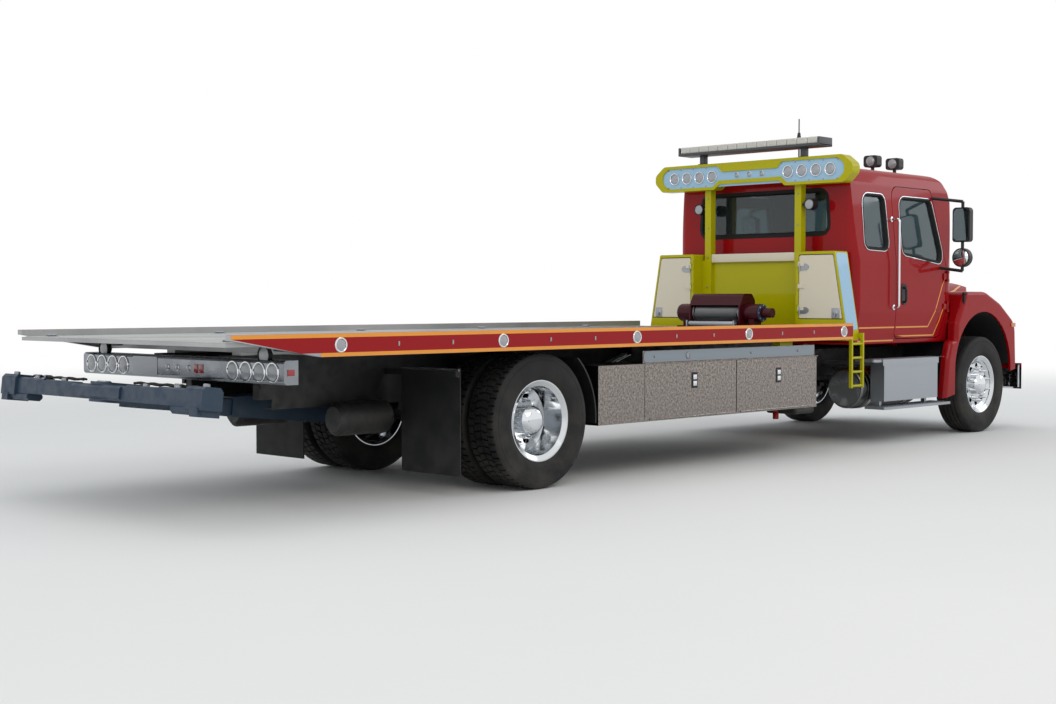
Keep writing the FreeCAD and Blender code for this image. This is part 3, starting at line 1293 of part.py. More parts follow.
def post_lamp(side):
    """A round lamp on a short arm outside one post of the headboard."""
    front, outer, z = float(board_front_y), float(d.post_outer), float(d.post_lamp_z)
    reach, thick = float(d.post_arm_reach), float(d.post_arm_thick)
    start = front - float(d.post_lamp_back)
    x = side * (outer + float(d.post_lamp_out))
    arm = block(min(side * outer, side * (outer + reach)), front + thick, z - thick / 2, reach, thick, thick)
    return arm.fuse(bar((x, start, z), (x, start + float(d.post_lamp_depth), z), d.post_lamp_radius))


def roof_lamps():
    """Work lamps on the cab roof and beside the posts, marker lamps and the short aerial."""
    front_row = float(cab_y - d.work_lamp_ahead)
    lamps = [work_lamp(side * float(d.work_lamp_x), y).cut(outer_cab)
             for y in (front_row, front_row - float(d.work_lamp_pitch)) for side in (-1, 1)]
    lamps.append(aerial(float(cab_y - d.aerial_ahead)).cut(outer_cab))
    lamps += [post_lamp(side) for side in (-1, 1)]
    return node("roof_lamps", feature(Part.makeCompound([lamp.Solids[0] if len(lamp.Solids) == 1 else
                                                         max(lamp.Solids, key=lambda part: part.Volume)
                                                         for lamp in lamps])))


headboard()
cabinet_door("left", 1)
cabinet_door("right", -1)
pylon()
pylon_lamps()
beacon_bar()
roof_lamps()


# ---------------------------------------------------------------- tilt frame and tail panel

tilt_sizes = {
    "tilt_rail_outer": 440, "tilt_rail_width": 100, "tilt_rail_height": 115, "tilt_rail_wall": 10,
    "tilt_front": 50, "tilt_member_height": 70, "tilt_member_depth": 60, "tilt_lug": 30,
    "panel_behind": 2205, "panel_depth": 112, "panel_low": 853, "panel_high": 1007, "panel_half": 1197,
    "tail_lamp_radius": 60, "tail_lamp_outer": 1082, "tail_lamp_pitch": 142, "tail_lamp_z": 930,
    "tail_lamp_out": 15, "ram_eye_ahead": 1850, "ram_eye_z": 958, "lift_pivot_behind": 950,
    "lift_pivot_z": 550, "lift_angle": 6.5, "lift_plate_x": 150, "lift_plate": 18, "ram_radius": 45,
    "ram_bore": 37, "ram_rod_radius": 26, "ram_barrel_length": 760, "ram_rod_inside": 345,
    "ram_eye_radius": 42, "ram_half_width": 38,
}
d.add(tilt_sizes)

tilt_under = d.frame_top + d.seat_gap
tilt_top = tilt_under + d.tilt_rail_height
tilt_start_y = deck_front_y + d.tilt_front
panel_front_y = rear_y + d.panel_behind
panel_rear_y = panel_front_y + d.panel_depth
ram_eye_y = rear_y - d.ram_eye_ahead
lift_y = rear_y + d.lift_pivot_behind


def tilt_frame():
    inner, wall, length = (d.tilt_rail_outer - d.tilt_rail_width, d.tilt_rail_wall,
                           panel_front_y - tilt_start_y)
    rail = cut(box((inner, tilt_start_y, tilt_under), (d.tilt_rail_width, length, d.tilt_rail_height)),
               box((inner + wall, tilt_start_y - wall, tilt_under + wall),
                   (d.tilt_rail_width - wall * 2, length + wall * 2, d.tilt_rail_height - wall * 2)))
    members = [wide(inner + wall / 2, y, tilt_top - d.tilt_member_height - wall, d.tilt_member_depth,
                    d.tilt_member_height)
               for y in (tilt_start_y, tilt_start_y + 1300, tilt_start_y + 2500, rear_y - 250, lift_y - 150,
                         lift_y + 90, panel_front_y - d.tilt_member_depth)]
    lug_height = tilt_top - d.tilt_hinge_z + 60
    lug = cut(box((d.tilt_rail_outer, tilt_hinge_y - 60, d.tilt_hinge_z - 60),
                  (d.tilt_lug, 120, lug_height)),
              rod("x", (d.tilt_rail_outer - 5, tilt_hinge_y, d.tilt_hinge_z),
                  d.tilt_pin_radius + d.seat_gap, d.tilt_lug + 10))
    eye_top = d.ram_eye_z + d.ram_eye_radius + d.seat_gap
    saddle = box((d.tilt_rail_outer - wall, ram_eye_y - 60, eye_top),
                 (d.ram_centre - d.tilt_rail_outer + wall + d.ram_half_width + 16, 140, tilt_top - eye_top))
    ears = [box((x, ram_eye_y - 60, d.ram_eye_z - 50), (10, 140, tilt_top - d.ram_eye_z + 50))
            for x in (d.ram_centre - d.ram_half_width - 16, d.ram_centre + d.ram_half_width + 6)]
    cheek = box((d.lift_plate_x, lift_y - 110, d.lift_pivot_z - 70),
                (d.lift_plate, 260, tilt_top - d.lift_pivot_z + 70 - wall * 2))
    tie = wide(inner + wall / 2, lift_y - 110, tilt_top - d.tilt_member_height - wall, 260, wall)
    pin = rod("x", (-d.lift_plate_x - d.lift_plate, lift_y, d.lift_pivot_z), d.lift_pin_radius,
              (d.lift_plate_x + d.lift_plate) * 2)
    saddle = fuse(saddle, *ears)
    parts = [rail, mirror(rail), lug, mirror(lug), saddle, mirror(saddle), cheek, mirror(cheek), tie, pin]
    return node("tilt_frame", fuse(*parts, *members))


def tail_panel():
    """Lamp panel: a channel open to the front, closed at its ends, with rubber dock bumpers on top."""
    half, low, high = float(d.panel_half), float(d.panel_low), float(d.panel_high)
    front, rear, wall = float(panel_front_y), float(panel_rear_y), 10
    body = prism("x", [(front, low, 0), (front, high, 0), (rear, high, 25), (rear, low, 25)], -half, half)
    hollow = block(-half + wall, front - 5, low + wall, 2 * (half - wall), rear - front - wall + 5,
                   high - low - 2 * wall)
    keep = float(d.tilt_rail_outer)
    hollow = hollow.cut(block(-keep, front - 10, low, 2 * keep, 40, high - low))
    return node("tail_panel", feature(body.cut(hollow)))


def tail_lamps():
    face, z, out = panel_rear_y, d.tail_lamp_z, d.tail_lamp_out
    lamps = []
    for place_number in range(4):
        x = d.tail_lamp_outer - d.tail_lamp_pitch * place_number
        lamps.append(rod("y", (x, face, z), d.tail_lamp_radius, out))
        lamps.append(rod("y", (-x, face, z), d.tail_lamp_radius, out))
    for x in (-155, -20, 100):
        lamps.append(rod("y", (x, face, z), 22, out))
    return node("tail_lamps", group(*lamps))


tilt_frame()
tail_panel()
tail_lamps()


# ---------------------------------------------------------------- tilt rams



def ram_ends():
    x = float(d.ram_centre)
    base = Vector(x, float(ram_base_y), float(d.ram_base_z))
    eye = Vector(x, float(ram_eye_y), float(d.ram_eye_z))
    return base, eye, (eye - base).normalize()


def ram_barrels():
    base, eye, along = ram_ends()
    across = Vector(float(d.ram_half_width), 0, 0)
    gap = float(d.seat_gap)
    body = bar(base + along * 35, base + along * float(d.ram_barrel_length), d.ram_radius)
    body = body.cut(bar(base + along * 80, base + along * (float(d.ram_barrel_length) - 30), d.ram_bore))
    body = body.cut(bar(base + along * 80, base + along * (float(d.ram_barrel_length) + 5),
                        float(d.ram_rod_radius) + gap))
    eye_ring = bar(base - across, base + across, d.ram_eye_radius)
    barrel = body.fuse(eye_ring).cut(bar(base - across * 2, base + across * 2,
                                         float(d.ram_pin_radius) + gap))
    return node("ram_barrels", feature(both(barrel)))


def ram_rods():
    base, eye, along = ram_ends()
    across = Vector(float(d.ram_half_width), 0, 0)
    inside = float(d.ram_rod_inside)
    stem = bar(base + along * inside, eye - along * 20, d.ram_rod_radius)
    piston = bar(base + along * inside, base + along * (inside + 35), float(d.ram_bore) - float(d.seat_gap))
    ring = bar(eye - across, eye + across, d.ram_eye_radius)
    return node("ram_rods", feature(both(stem.multiFuse([piston, ring]))))


ram_barrels()
ram_rods()


# ---------------------------------------------------------------- deck and winch

deck_sizes = {
    "deck_floor": 25, "deck_bearer_height": 64, "deck_bearer_width": 50, "deck_bearer_pitch": 420,
    "deck_runner": 20, "rail_low": 1027, "rail_high": 1174, "rail_thick": 58, "tail_taper": 680,
    "tail_tip": 34, "deck_lamp_radius": 50, "deck_lamp_out": 8, "deck_lamp_pitch": 1464,
    "deck_lamp_count": 5, "deck_lamp_first": 6012, "winch_front": 140, "winch_depth": 250,
    "winch_half": 300, "winch_wall": 16, "winch_height": 320, "drum_radius": 70, "drum_flange": 118,
    "drum_z": 118, "gearbox_radius": 85, "gearbox_reach": 170, "seat_plate": 3, "seat_plate_half": 700,
    "seat_plate_behind": 40,
}
d.add(deck_sizes)

deck_half = d.deck_width / 2
runner_under = tilt_top + d.seat_gap
bearer_under = runner_under + d.deck_runner
floor_under = bearer_under + d.deck_bearer_height
deck_top = floor_under + d.deck_floor
seat_top = deck_top + d.seat_plate
winch_y = deck_front_y + d.winch_front


def deck():
    inner = d.tilt_rail_outer - d.tilt_rail_width
    floor = wide(deck_half - d.rail_thick, deck_front_y, floor_under, d.deck_length, d.deck_floor)
    outer, back = deck_half, deck_half - d.rail_thick
    tip = d.rail_high - d.tail_tip
    side = pad("YZ", [(deck_front_y, d.rail_low), (deck_front_y, d.rail_high), (deck_tail_y, d.rail_high),
                      (deck_tail_y, tip),
                      (deck_tail_y - d.tail_taper, d.rail_low)], back, outer)
    runner = box((inner, deck_front_y, runner_under),
                 (d.tilt_rail_width, d.deck_length - d.tail_taper, d.deck_runner))
    span = float(d.deck_length - d.tail_taper - d.deck_bearer_width)
    count = int(span // float(d.deck_bearer_pitch))
    bearers = [wide(back + 1, deck_front_y + d.deck_bearer_pitch * n, bearer_under, d.deck_bearer_width,
                    d.deck_bearer_height + 1)
               for n in range(count + 1)]
    bearers.append(wide(back + 1, deck_tail_y - d.tail_taper - d.deck_bearer_width, bearer_under,
                        d.deck_bearer_width,
                        d.deck_bearer_height + 1))
    seat = wide(d.seat_plate_half, deck_front_y, deck_top - d.seat_plate,
                d.winch_front + d.winch_depth + d.seat_plate_behind,
                d.seat_plate * 2)
    return node("deck", fuse(floor, side, mirror(side), runner, mirror(runner), seat, *bearers))


def deck_lamps():
    lamps = []
    z = (d.rail_low + d.rail_high) / 2
    for number in range(int(float(d.deck_lamp_count))):
        y = deck_front_y + d.deck_lamp_first - d.deck_lamp_pitch * number
        lamps.append(rod("x", (deck_half, y, z), d.deck_lamp_radius, d.deck_lamp_out))
        lamps.append(rod("x", (-deck_half - d.deck_lamp_out, y, z), d.deck_lamp_radius, d.deck_lamp_out))
    return node("deck_lamps", group(*lamps))


def winch_housing():
    """Bridge over the drum: two cheeks, a sloping roof and a gearbox on each cheek."""
    half, wall = float(d.winch_half), float(d.winch_wall)
    base, y, depth, height = float(seat_top), float(winch_y), float(d.winch_depth), float(d.winch_height)
    cheek_outline = [(y, base, 0), (y, base + height - 60, 40), (y + 50, base + height, 40),
                     (y + depth - 70, base + height, 50),
                     (y + depth, base + height - 130, 40), (y + depth, base, 0)]
    shell = prism("x", cheek_outline, -half, half)
    inside = prism("x", [(y + wall, base - 5, 0), (y + wall, base + height - 66, 30),
                         (y + 56, base + height - wall, 30),
                         (y + depth - 76, base + height - wall, 40),
                         (y + depth - 26, base + height - 110, 20),
                         (y + depth + 20, base + height - 110, 0),
                         (y + depth + 20, base - 5, 0)], -half + wall, half - wall)
    shell = shell.cut(inside)
    drum_y, drum_z = y + depth / 2, base + float(d.drum_z) + 20
    boxes = [bar((side * half, drum_y, drum_z), (side * (half + float(d.gearbox_reach)), drum_y, drum_z),
                 d.gearbox_radius)
             for side in (-1, 1)]
    motor = bar((-half - float(d.gearbox_reach), drum_y, drum_z),
                (-half - float(d.gearbox_reach) - 120, drum_y, drum_z), 45)
    feet = [block(side * half - (0 if side > 0 else 160), y + 20, base, 160, depth - 40, 14)
            for side in (-1, 1)]
    stands = [block(side * (half + 60) - (0 if side > 0 else 60), drum_y - 60, base, 60, 120, drum_z - base)
              for side in (-1, 1)]
    shape = shell.multiFuse(boxes + [motor] + feet + stands)
    shape = shape.cut(bar((-half - 20, drum_y, drum_z), (half + 20, drum_y, drum_z), 30 + float(d.seat_gap)))
    return node("winch_housing", feature(shape))


def winch_drum():
    half = float(d.winch_half) - float(d.winch_wall) - float(d.door_gap)
    y = float(winch_y) + float(d.winch_depth) / 2
    z = float(seat_top) + float(d.drum_z) + 20
    core = bar((-half, y, z), (half, y, z), d.drum_radius)
    flanges = [bar((side * half, y, z), (side * (half - 14), y, z), float(d.drum_flange) - 14)
               for side in (-1, 1)]
    shaft = bar((-half - 36, y, z), (half + 36, y, z), 30)
    return node("winch_drum", feature(core.multiFuse(flanges + [shaft])))


deck()
deck_lamps()
winch_housing()
winch_drum()


# ---------------------------------------------------------------- wheel lift

lift_sizes = {
    "arm_half": 130, "arm_low": 82, "arm_high": 56, "arm_length": 1000, "arm_wall": 12, "boom_gap": 6,
    "boom_length": 1790, "boom_start": 140, "bar_behind": 1972.5, "bar_half": 1227, "bar_height": 100,
    "bar_depth": 150, "bar_centre": 18, "bar_pin_radius": 32, "fork_thick": 16, "socket_length": 190,
    "socket_drop": 55, "receiver_radius": 24, "receiver_inset": 70,
}
d.add(lift_sizes)


def in_lift(shape):
    """Lift pieces are drawn along +Y from the pivot, then swung up to their stowed angle."""
    turned_shape = shape.copy()
    turned_shape.rotate(Vector(0, 0, 0), Vector(1, 0, 0), float(d.lift_angle))
    turned_shape.translate(Vector(0, lift_y, d.lift_pivot_z))
    return turned_shape


def lift_arm():
    half, low, high, wall = float(d.arm_half), -float(d.arm_low), float(d.arm_high), float(d.arm_wall)
    length = float(d.arm_length)
    outline = [(-90, low + 12, 30), (-90, 62, 30), (90, 98, 60), (200, 150, 40), (270, 150, 30),
               (length, high, 0), (length, low, 0)]
    shape = prism("x", outline, -half, half)
    shape = shape.cut(block(-half + wall, 60, low + wall, 2 * (half - wall), length, high - low - 2 * wall))
    bore = float(d.lift_pin_radius) + float(d.seat_gap)
    shape = shape.cut(bar((-half - 5, 0, 0), (half + 5, 0, 0), bore))
    return node("lift_arm", feature(in_lift(shape)))


def lift_boom():
    gap, wall = float(d.boom_gap), float(d.arm_wall)
    half = float(d.arm_half) - wall - gap
    low, high = -float(d.arm_low) + wall + float(d.seat_gap), float(d.arm_high) - wall - gap
    length = float(d.boom_length)
    shape = block(-half, d.boom_start, low, 2 * half, length - float(d.boom_start) - 50, high - low)
    centre, tall, fork = (float(d.bar_centre), float(d.bar_height) / 2 + float(d.seat_gap),
                          float(d.fork_thick))
    pin_y = float(d.bar_behind)
    prongs = [prism("z",
                    [(-half, length - 90, 0), (-half, pin_y + 20, 60), (half, pin_y + 20, 60),
                     (half, length - 90, 0)], z, z + fork)
              for z in (centre - tall - fork, centre + tall)]
    neck = block(-half, length - 90, low, 2 * half, 40, centre + tall + fork - low)
    pin = bar((0, pin_y - 40, centre - tall - fork), (0, pin_y - 40, centre + tall + fork), d.bar_pin_radius)
    return node("lift_boom", feature(in_lift(shape.multiFuse(prongs + [neck, pin]))))


def lift_crossbar():
    half, tall, deep = float(d.bar_half), float(d.bar_height) / 2, float(d.bar_depth) / 2
    centre, pin_y = float(d.bar_centre), float(d.bar_behind) - 40
    socket, drop = float(d.socket_length), float(d.socket_drop)
    beam = block(-half + 20, pin_y - deep + 20, centre - tall, 2 * half - 40, 2 * deep - 40, 2 * tall)
    pieces = []
    for side in (-1, 1):
        x = side * half
        sleeve = block(min(x, x - side * socket), pin_y - deep, centre - tall - 14, socket, 2 * deep,
                       2 * tall + 20)
        hook = block(min(x - side * 30, x - side * 110), pin_y - deep - 6, centre - tall - drop, 80,
                     2 * deep + 12, drop)
        pieces += [sleeve, hook]
    shape = beam.multiFuse(pieces)
    shape = shape.cut(bar((0, pin_y, centre - tall - 5), (0, pin_y, centre + tall + 5),
                          float(d.bar_pin_radius) + float(d.seat_gap)))
    for side in (-1, 1):
        x = side * (half - float(d.receiver_inset))
        shape = shape.cut(bar((x, pin_y, centre - tall - drop - 5), (x, pin_y, centre + tall + 10),
                              d.receiver_radius))
    return node("lift_crossbar", feature(in_lift(shape)))


lift_arm()
lift_boom()
lift_crossbar()


# ---------------------------------------------------------------- check and export

doc.recompute()
for item in doc.Objects:
    if "Invalid" in item.State or "Error" in item.State:
        raise RuntimeError("%s failed: %s" % (item.Label, item.State))
os.makedirs("parts", exist_ok=True)
for item in nodes:
    if item.Shape.isNull() or not item.Shape.isValid():
        raise RuntimeError("%s has no valid shape" % item.Label)
    item.Shape.exportStep("parts/%s.step" % item.Label)
print("%d pieces written" % len(nodes))
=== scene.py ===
import math

import bmesh
import bpy
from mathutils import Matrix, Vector
from mathutils.bvhtree import BVHTree


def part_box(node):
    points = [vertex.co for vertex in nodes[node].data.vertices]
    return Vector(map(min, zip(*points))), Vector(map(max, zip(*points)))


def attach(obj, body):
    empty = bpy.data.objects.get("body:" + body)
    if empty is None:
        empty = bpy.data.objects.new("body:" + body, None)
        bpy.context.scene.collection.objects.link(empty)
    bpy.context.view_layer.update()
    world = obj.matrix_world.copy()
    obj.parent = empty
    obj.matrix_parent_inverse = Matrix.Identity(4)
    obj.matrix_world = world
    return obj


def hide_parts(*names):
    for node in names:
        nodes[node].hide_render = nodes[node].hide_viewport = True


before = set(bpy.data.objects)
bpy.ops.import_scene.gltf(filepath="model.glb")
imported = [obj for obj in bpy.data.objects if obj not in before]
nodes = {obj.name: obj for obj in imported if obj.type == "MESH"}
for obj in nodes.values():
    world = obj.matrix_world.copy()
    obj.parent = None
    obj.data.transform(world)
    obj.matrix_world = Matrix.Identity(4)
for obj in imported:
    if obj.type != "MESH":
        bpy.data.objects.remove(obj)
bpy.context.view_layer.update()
sides = {"left": 1, "right": -1}     # the truck faces -Y, so its left is +X
print("frame loaded:", len(nodes), "nodes")


# colours and shader nodes

def colour(code):    # sRGB hex to the linear values that Blender mixes
    parts = [int(code[at:at + 2], 16) / 255 for at in (1, 3, 5)]
    return [part / 12.92 if part <= 0.04045 else ((part + 0.055) / 1.055) ** 2.4 for part in parts] + [1]


def put(tree, kind, settings=None, links=None):    # adds one node with its settings and links
    item = tree.nodes.new(kind)
    for name, value in (settings or {}).items():
        if isinstance(name, int) or name in item.inputs:
            item.inputs[name].default_value = value
        else:
            setattr(item, name, value)
    for name, source in (links or {}).items():
        tree.links.new(source, item.inputs[name])
    return item


def startFinish(name, values):    # a named material with its shader and the piece's own coordinates
    material = bpy.data.materials.new(name)
    material.use_nodes = True
    tree = material.node_tree
    shader = tree.nodes["Principled BSDF"]
    for socket, value in values.items():
        shader.inputs[socket].default_value = value
    place = put(tree, "ShaderNodeTexCoord").outputs["Object"]
    return material, tree, shader, place


def blendColours(tree, shader, factor, low, high):
    mix = put(tree, "ShaderNodeMix", {"data_type": "RGBA"}, {"Factor": factor})
    mix.inputs[6].default_value, mix.inputs[7].default_value = colour(low), colour(high)
    tree.links.new(mix.outputs[2], shader.inputs["Base Color"])


def noise(tree, place, scale, detail=2, roughness=0.5):
    return put(tree, "ShaderNodeTexNoise", {"Scale": scale, "Detail": detail, "Roughness": roughness},
               {"Vector": place}).outputs["Fac"]


def spread(tree, value, settings):    # a value stretched from one range to another
    return put(tree, "ShaderNodeMapRange", settings, {"Value": value}).outputs["Result"]


def combine(tree, operation, first, second):
    return put(tree, "ShaderNodeMath", {"operation": operation}, {0: first, 1: second}).outputs["Value"]


def mottle(tree, place, scale, low, high, detail=3):    # noise pulled out to run between two levels
    return spread(tree, noise(tree, place, scale, detail),
                  {"From Min": 0.35, "From Max": 0.65, "To Min": low, "To Max": high})


def drawnLines(tree, place, scale):    # noise pulled out into lines along the axis with the smallest scale
    stretch = put(tree, "ShaderNodeMapping", {"Scale": scale}, {"Vector": place})
    return noise(tree, stretch.outputs["Vector"], 1.0)


def relief(tree, shader, height, distance, strength):
    bump = put(tree, "ShaderNodeBump", {"Strength": strength, "Distance": distance}, {"Height": height})
    tree.links.new(bump.outputs["Normal"], shader.inputs["Normal"])


def roadDust(tree, place, top):    # dust in clouds, from none at this height to most near the ground
    height = put(tree, "ShaderNodeSeparateXYZ", None, {"Vector": place}).outputs["Z"]
    low = spread(tree, height, {"From Min": top, "From Max": 0.2, "To Min": 0.0, "To Max": 1.0})
    return combine(tree, "MULTIPLY", low, mottle(tree, place, 6, 0.0, 0.75, 5))


def urethanePaint(name, deep, light):
    # sprayed two-coat urethane: a wet clear layer over colour, with the faint ripple of orange peel
    material, tree, shader, place = startFinish(name,
                                                {"Roughness": 0.45, "IOR": 1.5, "Specular IOR Level": 0.05,
                                                       "Coat Weight": 0.35, "Coat Roughness": 0.05,
                                                       "Coat IOR": 1.5})
    blendColours(tree, shader, roadDust(tree, place, 0.9), deep, light)
    relief(tree, shader, noise(tree, place, 1 / 0.012, 1), 0.0002, 0.35)
    return material


def chassisEnamel(name, deep, dusty):
    # brushed-on black enamel, dulled low down by road dust
    material, tree, shader, place = startFinish(name, {"IOR": 1.5})
    blendColours(tree, shader, roadDust(tree, place, 1.1), deep, dusty)
    tree.links.new(mottle(tree, place, 14, 0.38, 0.62), shader.inputs["Roughness"])
    relief(tree, shader, noise(tree, place, 1 / 0.02), 0.0006, 0.4)
    return material


def polishedMetal(name, tone, roughness, ripple):
    # hand-buffed aluminium or stainless: mirror bright, with the slow waviness that bends a reflection
    material, tree, shader, place = startFinish(name, {"Base Color": colour(tone), "Metallic": 1.0})
    tree.links.new(mottle(tree, place, 9, roughness * 0.7, roughness * 1.4), shader.inputs["Roughness"])
    relief(tree, shader, noise(tree, place, 1 / ripple), 0.004, 0.25)
    return material


def paintedGravelStainless(name):
    # polished stainless with a painted reflection of loose gravel in its base colour: a broken, grainy
    # painted sparkle of greys and browns
    material, tree, shader, place = startFinish(name, {"Metallic": 1.0, "Roughness": 0.24})
    grain = noise(tree, place, 1 / 0.02, 5, 0.8)
    # painted reflection: the grain noise mixes greys and browns into the base colour, and the same noise
    # bumps the surface
    blendColours(tree, shader, spread(tree, grain, {"From Min": 0.36, "From Max": 0.64}), "#5f5854",
                 "#aaa29c")
    relief(tree, shader, grain, 0.0012, 0.5)
    return material


def extrudedAluminium():
    # mill-finish bed planks: fine lengthwise drawing lines, scuffed dull in random patches
    material, tree, shader, place = startFinish("extruded aluminium", {"Metallic": 1.0})
    blendColours(tree, shader, mottle(tree, place, 1.5, 0, 1, 6), "#a2a4a5", "#b3b4b4")
    tree.links.new(mottle(tree, place, 4, 0.42, 0.52), shader.inputs["Roughness"])
    relief(tree, shader, drawnLines(tree, place, (1 / 0.004, 1 / 0.3, 1 / 0.004)), 0.0008, 0.4)
    return material


def brushedSteel(name, tone):
    # belt-brushed steel, the grit's lines drawn coarser than life so that they show
    material, tree, shader, place = startFinish(name, {"Base Color": colour(tone), "Metallic": 1.0})
    grit = drawnLines(tree, place, (1 / 0.2, 1 / 0.006, 1 / 0.006))
    tree.links.new(spread(tree, grit, {"To Min": 0.25, "To Max": 0.5}), shader.inputs["Roughness"])
    relief(tree, shader, grit, 0.0004, 0.4)
    return material


def castIron():
    # sand-cast iron: pitted skin, flat grey-black
    material, tree, shader, place = startFinish("cast iron", {"Metallic": 0.6, "Roughness": 0.62})
    blendColours(tree, shader, mottle(tree, place, 12, 0, 1), "#29292b", "#3d3a37")
    relief(tree, shader, noise(tree, place, 1 / 0.01), 0.002, 0.6)
    return material


def mouldedRubber(name, tone, dust, grain):
    # carbon-black rubber from a mould, greyed by dust in patches
    material, tree, shader, place = startFinish(name,
                                                {"Roughness": 0.72, "IOR": 1.52,
                                                 "Specular IOR Level": 0.35})
    blendColours(tree, shader, roadDust(tree, place, 1.1), tone, dust)
    relief(tree, shader, noise(tree, place, 1 / grain, 4), 0.001, 0.5)
    return material


def texturedPlastic(name, tone, sheen):
    # injection-moulded plastic with a leather-like grain of about four millimetres
    material, tree, shader, place = startFinish(name,
                                                {"Base Color": colour(tone), "Roughness": sheen,
                                                 "IOR": 1.49})
    grain = put(tree, "ShaderNodeTexVoronoi", {"Scale": 1 / 0.004}, {"Vector": place})
    relief(tree, shader, grain.outputs["Distance"], 0.0004, 0.3)
    return material


def wovenCloth():
    # flat-woven seat cloth: two crossed waves of thread, twelve millimetres apart so that they show
    material, tree, shader, place = startFinish("woven seat cloth",
                                                {"Roughness": 0.9, "Sheen Weight": 0.3})
    warp, weft = (put(tree, "ShaderNodeTexWave", {"Scale": 1 / 0.012, "bands_direction": way},
                      {"Vector": place}).outputs["Fac"] for way in "XZ")
    weave = combine(tree, "MULTIPLY", warp, weft)
    blendColours(tree, shader, weave, "#2f2c2a", "#59544d")
    relief(tree, shader, weave, 0.001, 0.6)
    return material


def tintedGlass(name, tone):
    # toughened glass with a body tint, wiped clean but with a faint haze of dust
    material, tree, shader, place = startFinish(name, {"Base Color": colour(tone), "IOR": 1.52,
                                                       "Transmission Weight": 0.92})
    tree.links.new(mottle(tree, place, 5, 0.01, 0.07), shader.inputs["Roughness"])
    return material


def mouldedLens(name, tone, clear):
    # polycarbonate lens: clear gloss over small prisms moulded in its back
    material, tree, shader, place = startFinish(name,
                                                {"Base Color": colour(tone), "Roughness": 0.12,
                                                 "IOR": 1.58,
                                                       "Transmission Weight": clear, "Coat Weight": 0.6})
    prisms = put(tree, "ShaderNodeTexVoronoi", {"Scale": 1 / 0.009, "distance": "CHEBYCHEV"},
                 {"Vector": place})
    relief(tree, shader, prisms.outputs["Distance"], 0.001, 0.5)
    return material


def vinylStripe(name, tone):
    # cast vinyl film, satin and even, lying on the paint
    material, tree, shader, place = startFinish(name, {"Roughness": 0.32, "IOR": 1.5, "Coat Weight": 0.4})
    blendColours(tree, shader, roadDust(tree, place, 1.3), tone, "#a8773a")
    return material


def silveredGlass():
    # mirror glass, with the thin film of grime that softens its edge
    material, tree, shader, place = startFinish("silvered glass",
                                                {"Base Color": colour("#dfe4e6"), "Metallic": 1.0})
    tree.links.new(mottle(tree, place, 8, 0.01, 0.05), shader.inputs["Roughness"])
    return material


redPaint = urethanePaint("red urethane paint", "#96060e", "#6d1a18")
yellowPaint = urethanePaint("yellow urethane paint", "#b5ae04", "#8f8733")
creamPaint = urethanePaint("cream urethane paint", "#dbd2bd", "#b9b19c")
paleBlue = urethanePaint("pale blue urethane paint", "#9fc3dc", "#8698a5")
maroonPaint = urethanePaint("maroon urethane paint", "#3d0812", "#2e1216")
blackEnamel = chassisEnamel("black chassis enamel", "#101113", "#38342f")
liftEnamel = chassisEnamel("blue grey lift enamel", "#1d3348", "#35404a")
polishedAluminium = polishedMetal("polished aluminium", "#d3d6d9", 0.13, 0.15)
# toolbox stainless, its base colour a painted reflection of gravel
paintedReflectionStainless = paintedGravelStainless("stainless with painted gravel reflection")
tailStainless = polishedMetal("tail stainless", "#8d9196", 0.22, 0.08)
chromePlate = polishedMetal("chrome plate", "#dfe2e5", 0.06, 0.3)
treadAluminium = brushedSteel("brushed tread aluminium", "#a3a8ae")
# painted shade: the fuel tanks' dark tone stands for polished aluminium in shadow, with a painted
# reflection of the ground
shadedTankAluminium = polishedMetal("tank aluminium with painted shade", "#7b7c7d", 0.3, 0.2)
plateSteel = brushedSteel("brushed plate steel", "#8b939b")
bedAluminium = extrudedAluminium()
steel = brushedSteel("brushed steel", "#9a9ea3")
ropeSteel = brushedSteel("wire rope steel", "#6f7072")
iron = castIron()
tyreRubber = mouldedRubber("tyre rubber", "#111112", "#3b3834", 0.006)
flapRubber = mouldedRubber("mudflap rubber", "#0d0e10", "#2f2e2d", 0.012)
gasketRubber = mouldedRubber("gasket rubber", "#0b0b0c", "#1c1b1a", 0.008)
blackPlastic = texturedPlastic("black moulded plastic", "#141416", 0.5)
greyPlastic = texturedPlastic("grey moulded plastic", "#3f4245", 0.45)
seatCloth = wovenCloth()
cabGlass = tintedGlass("tinted cab glass", "#6f8388")
clearLens = mouldedLens("clear lens", "#b9bcc0", 0.35)
beaconLens = mouldedLens("beacon lens", "#dcd9cf", 0.25)
amberLens = mouldedLens("amber lens", "#e0780c", 0.2)
redLens = mouldedLens("red lens", "#a3101a", 0.15)
orangeVinyl = vinylStripe("orange vinyl stripe", "#e89312")
mirrorGlass = silveredGlass()
print("finishes mixed")

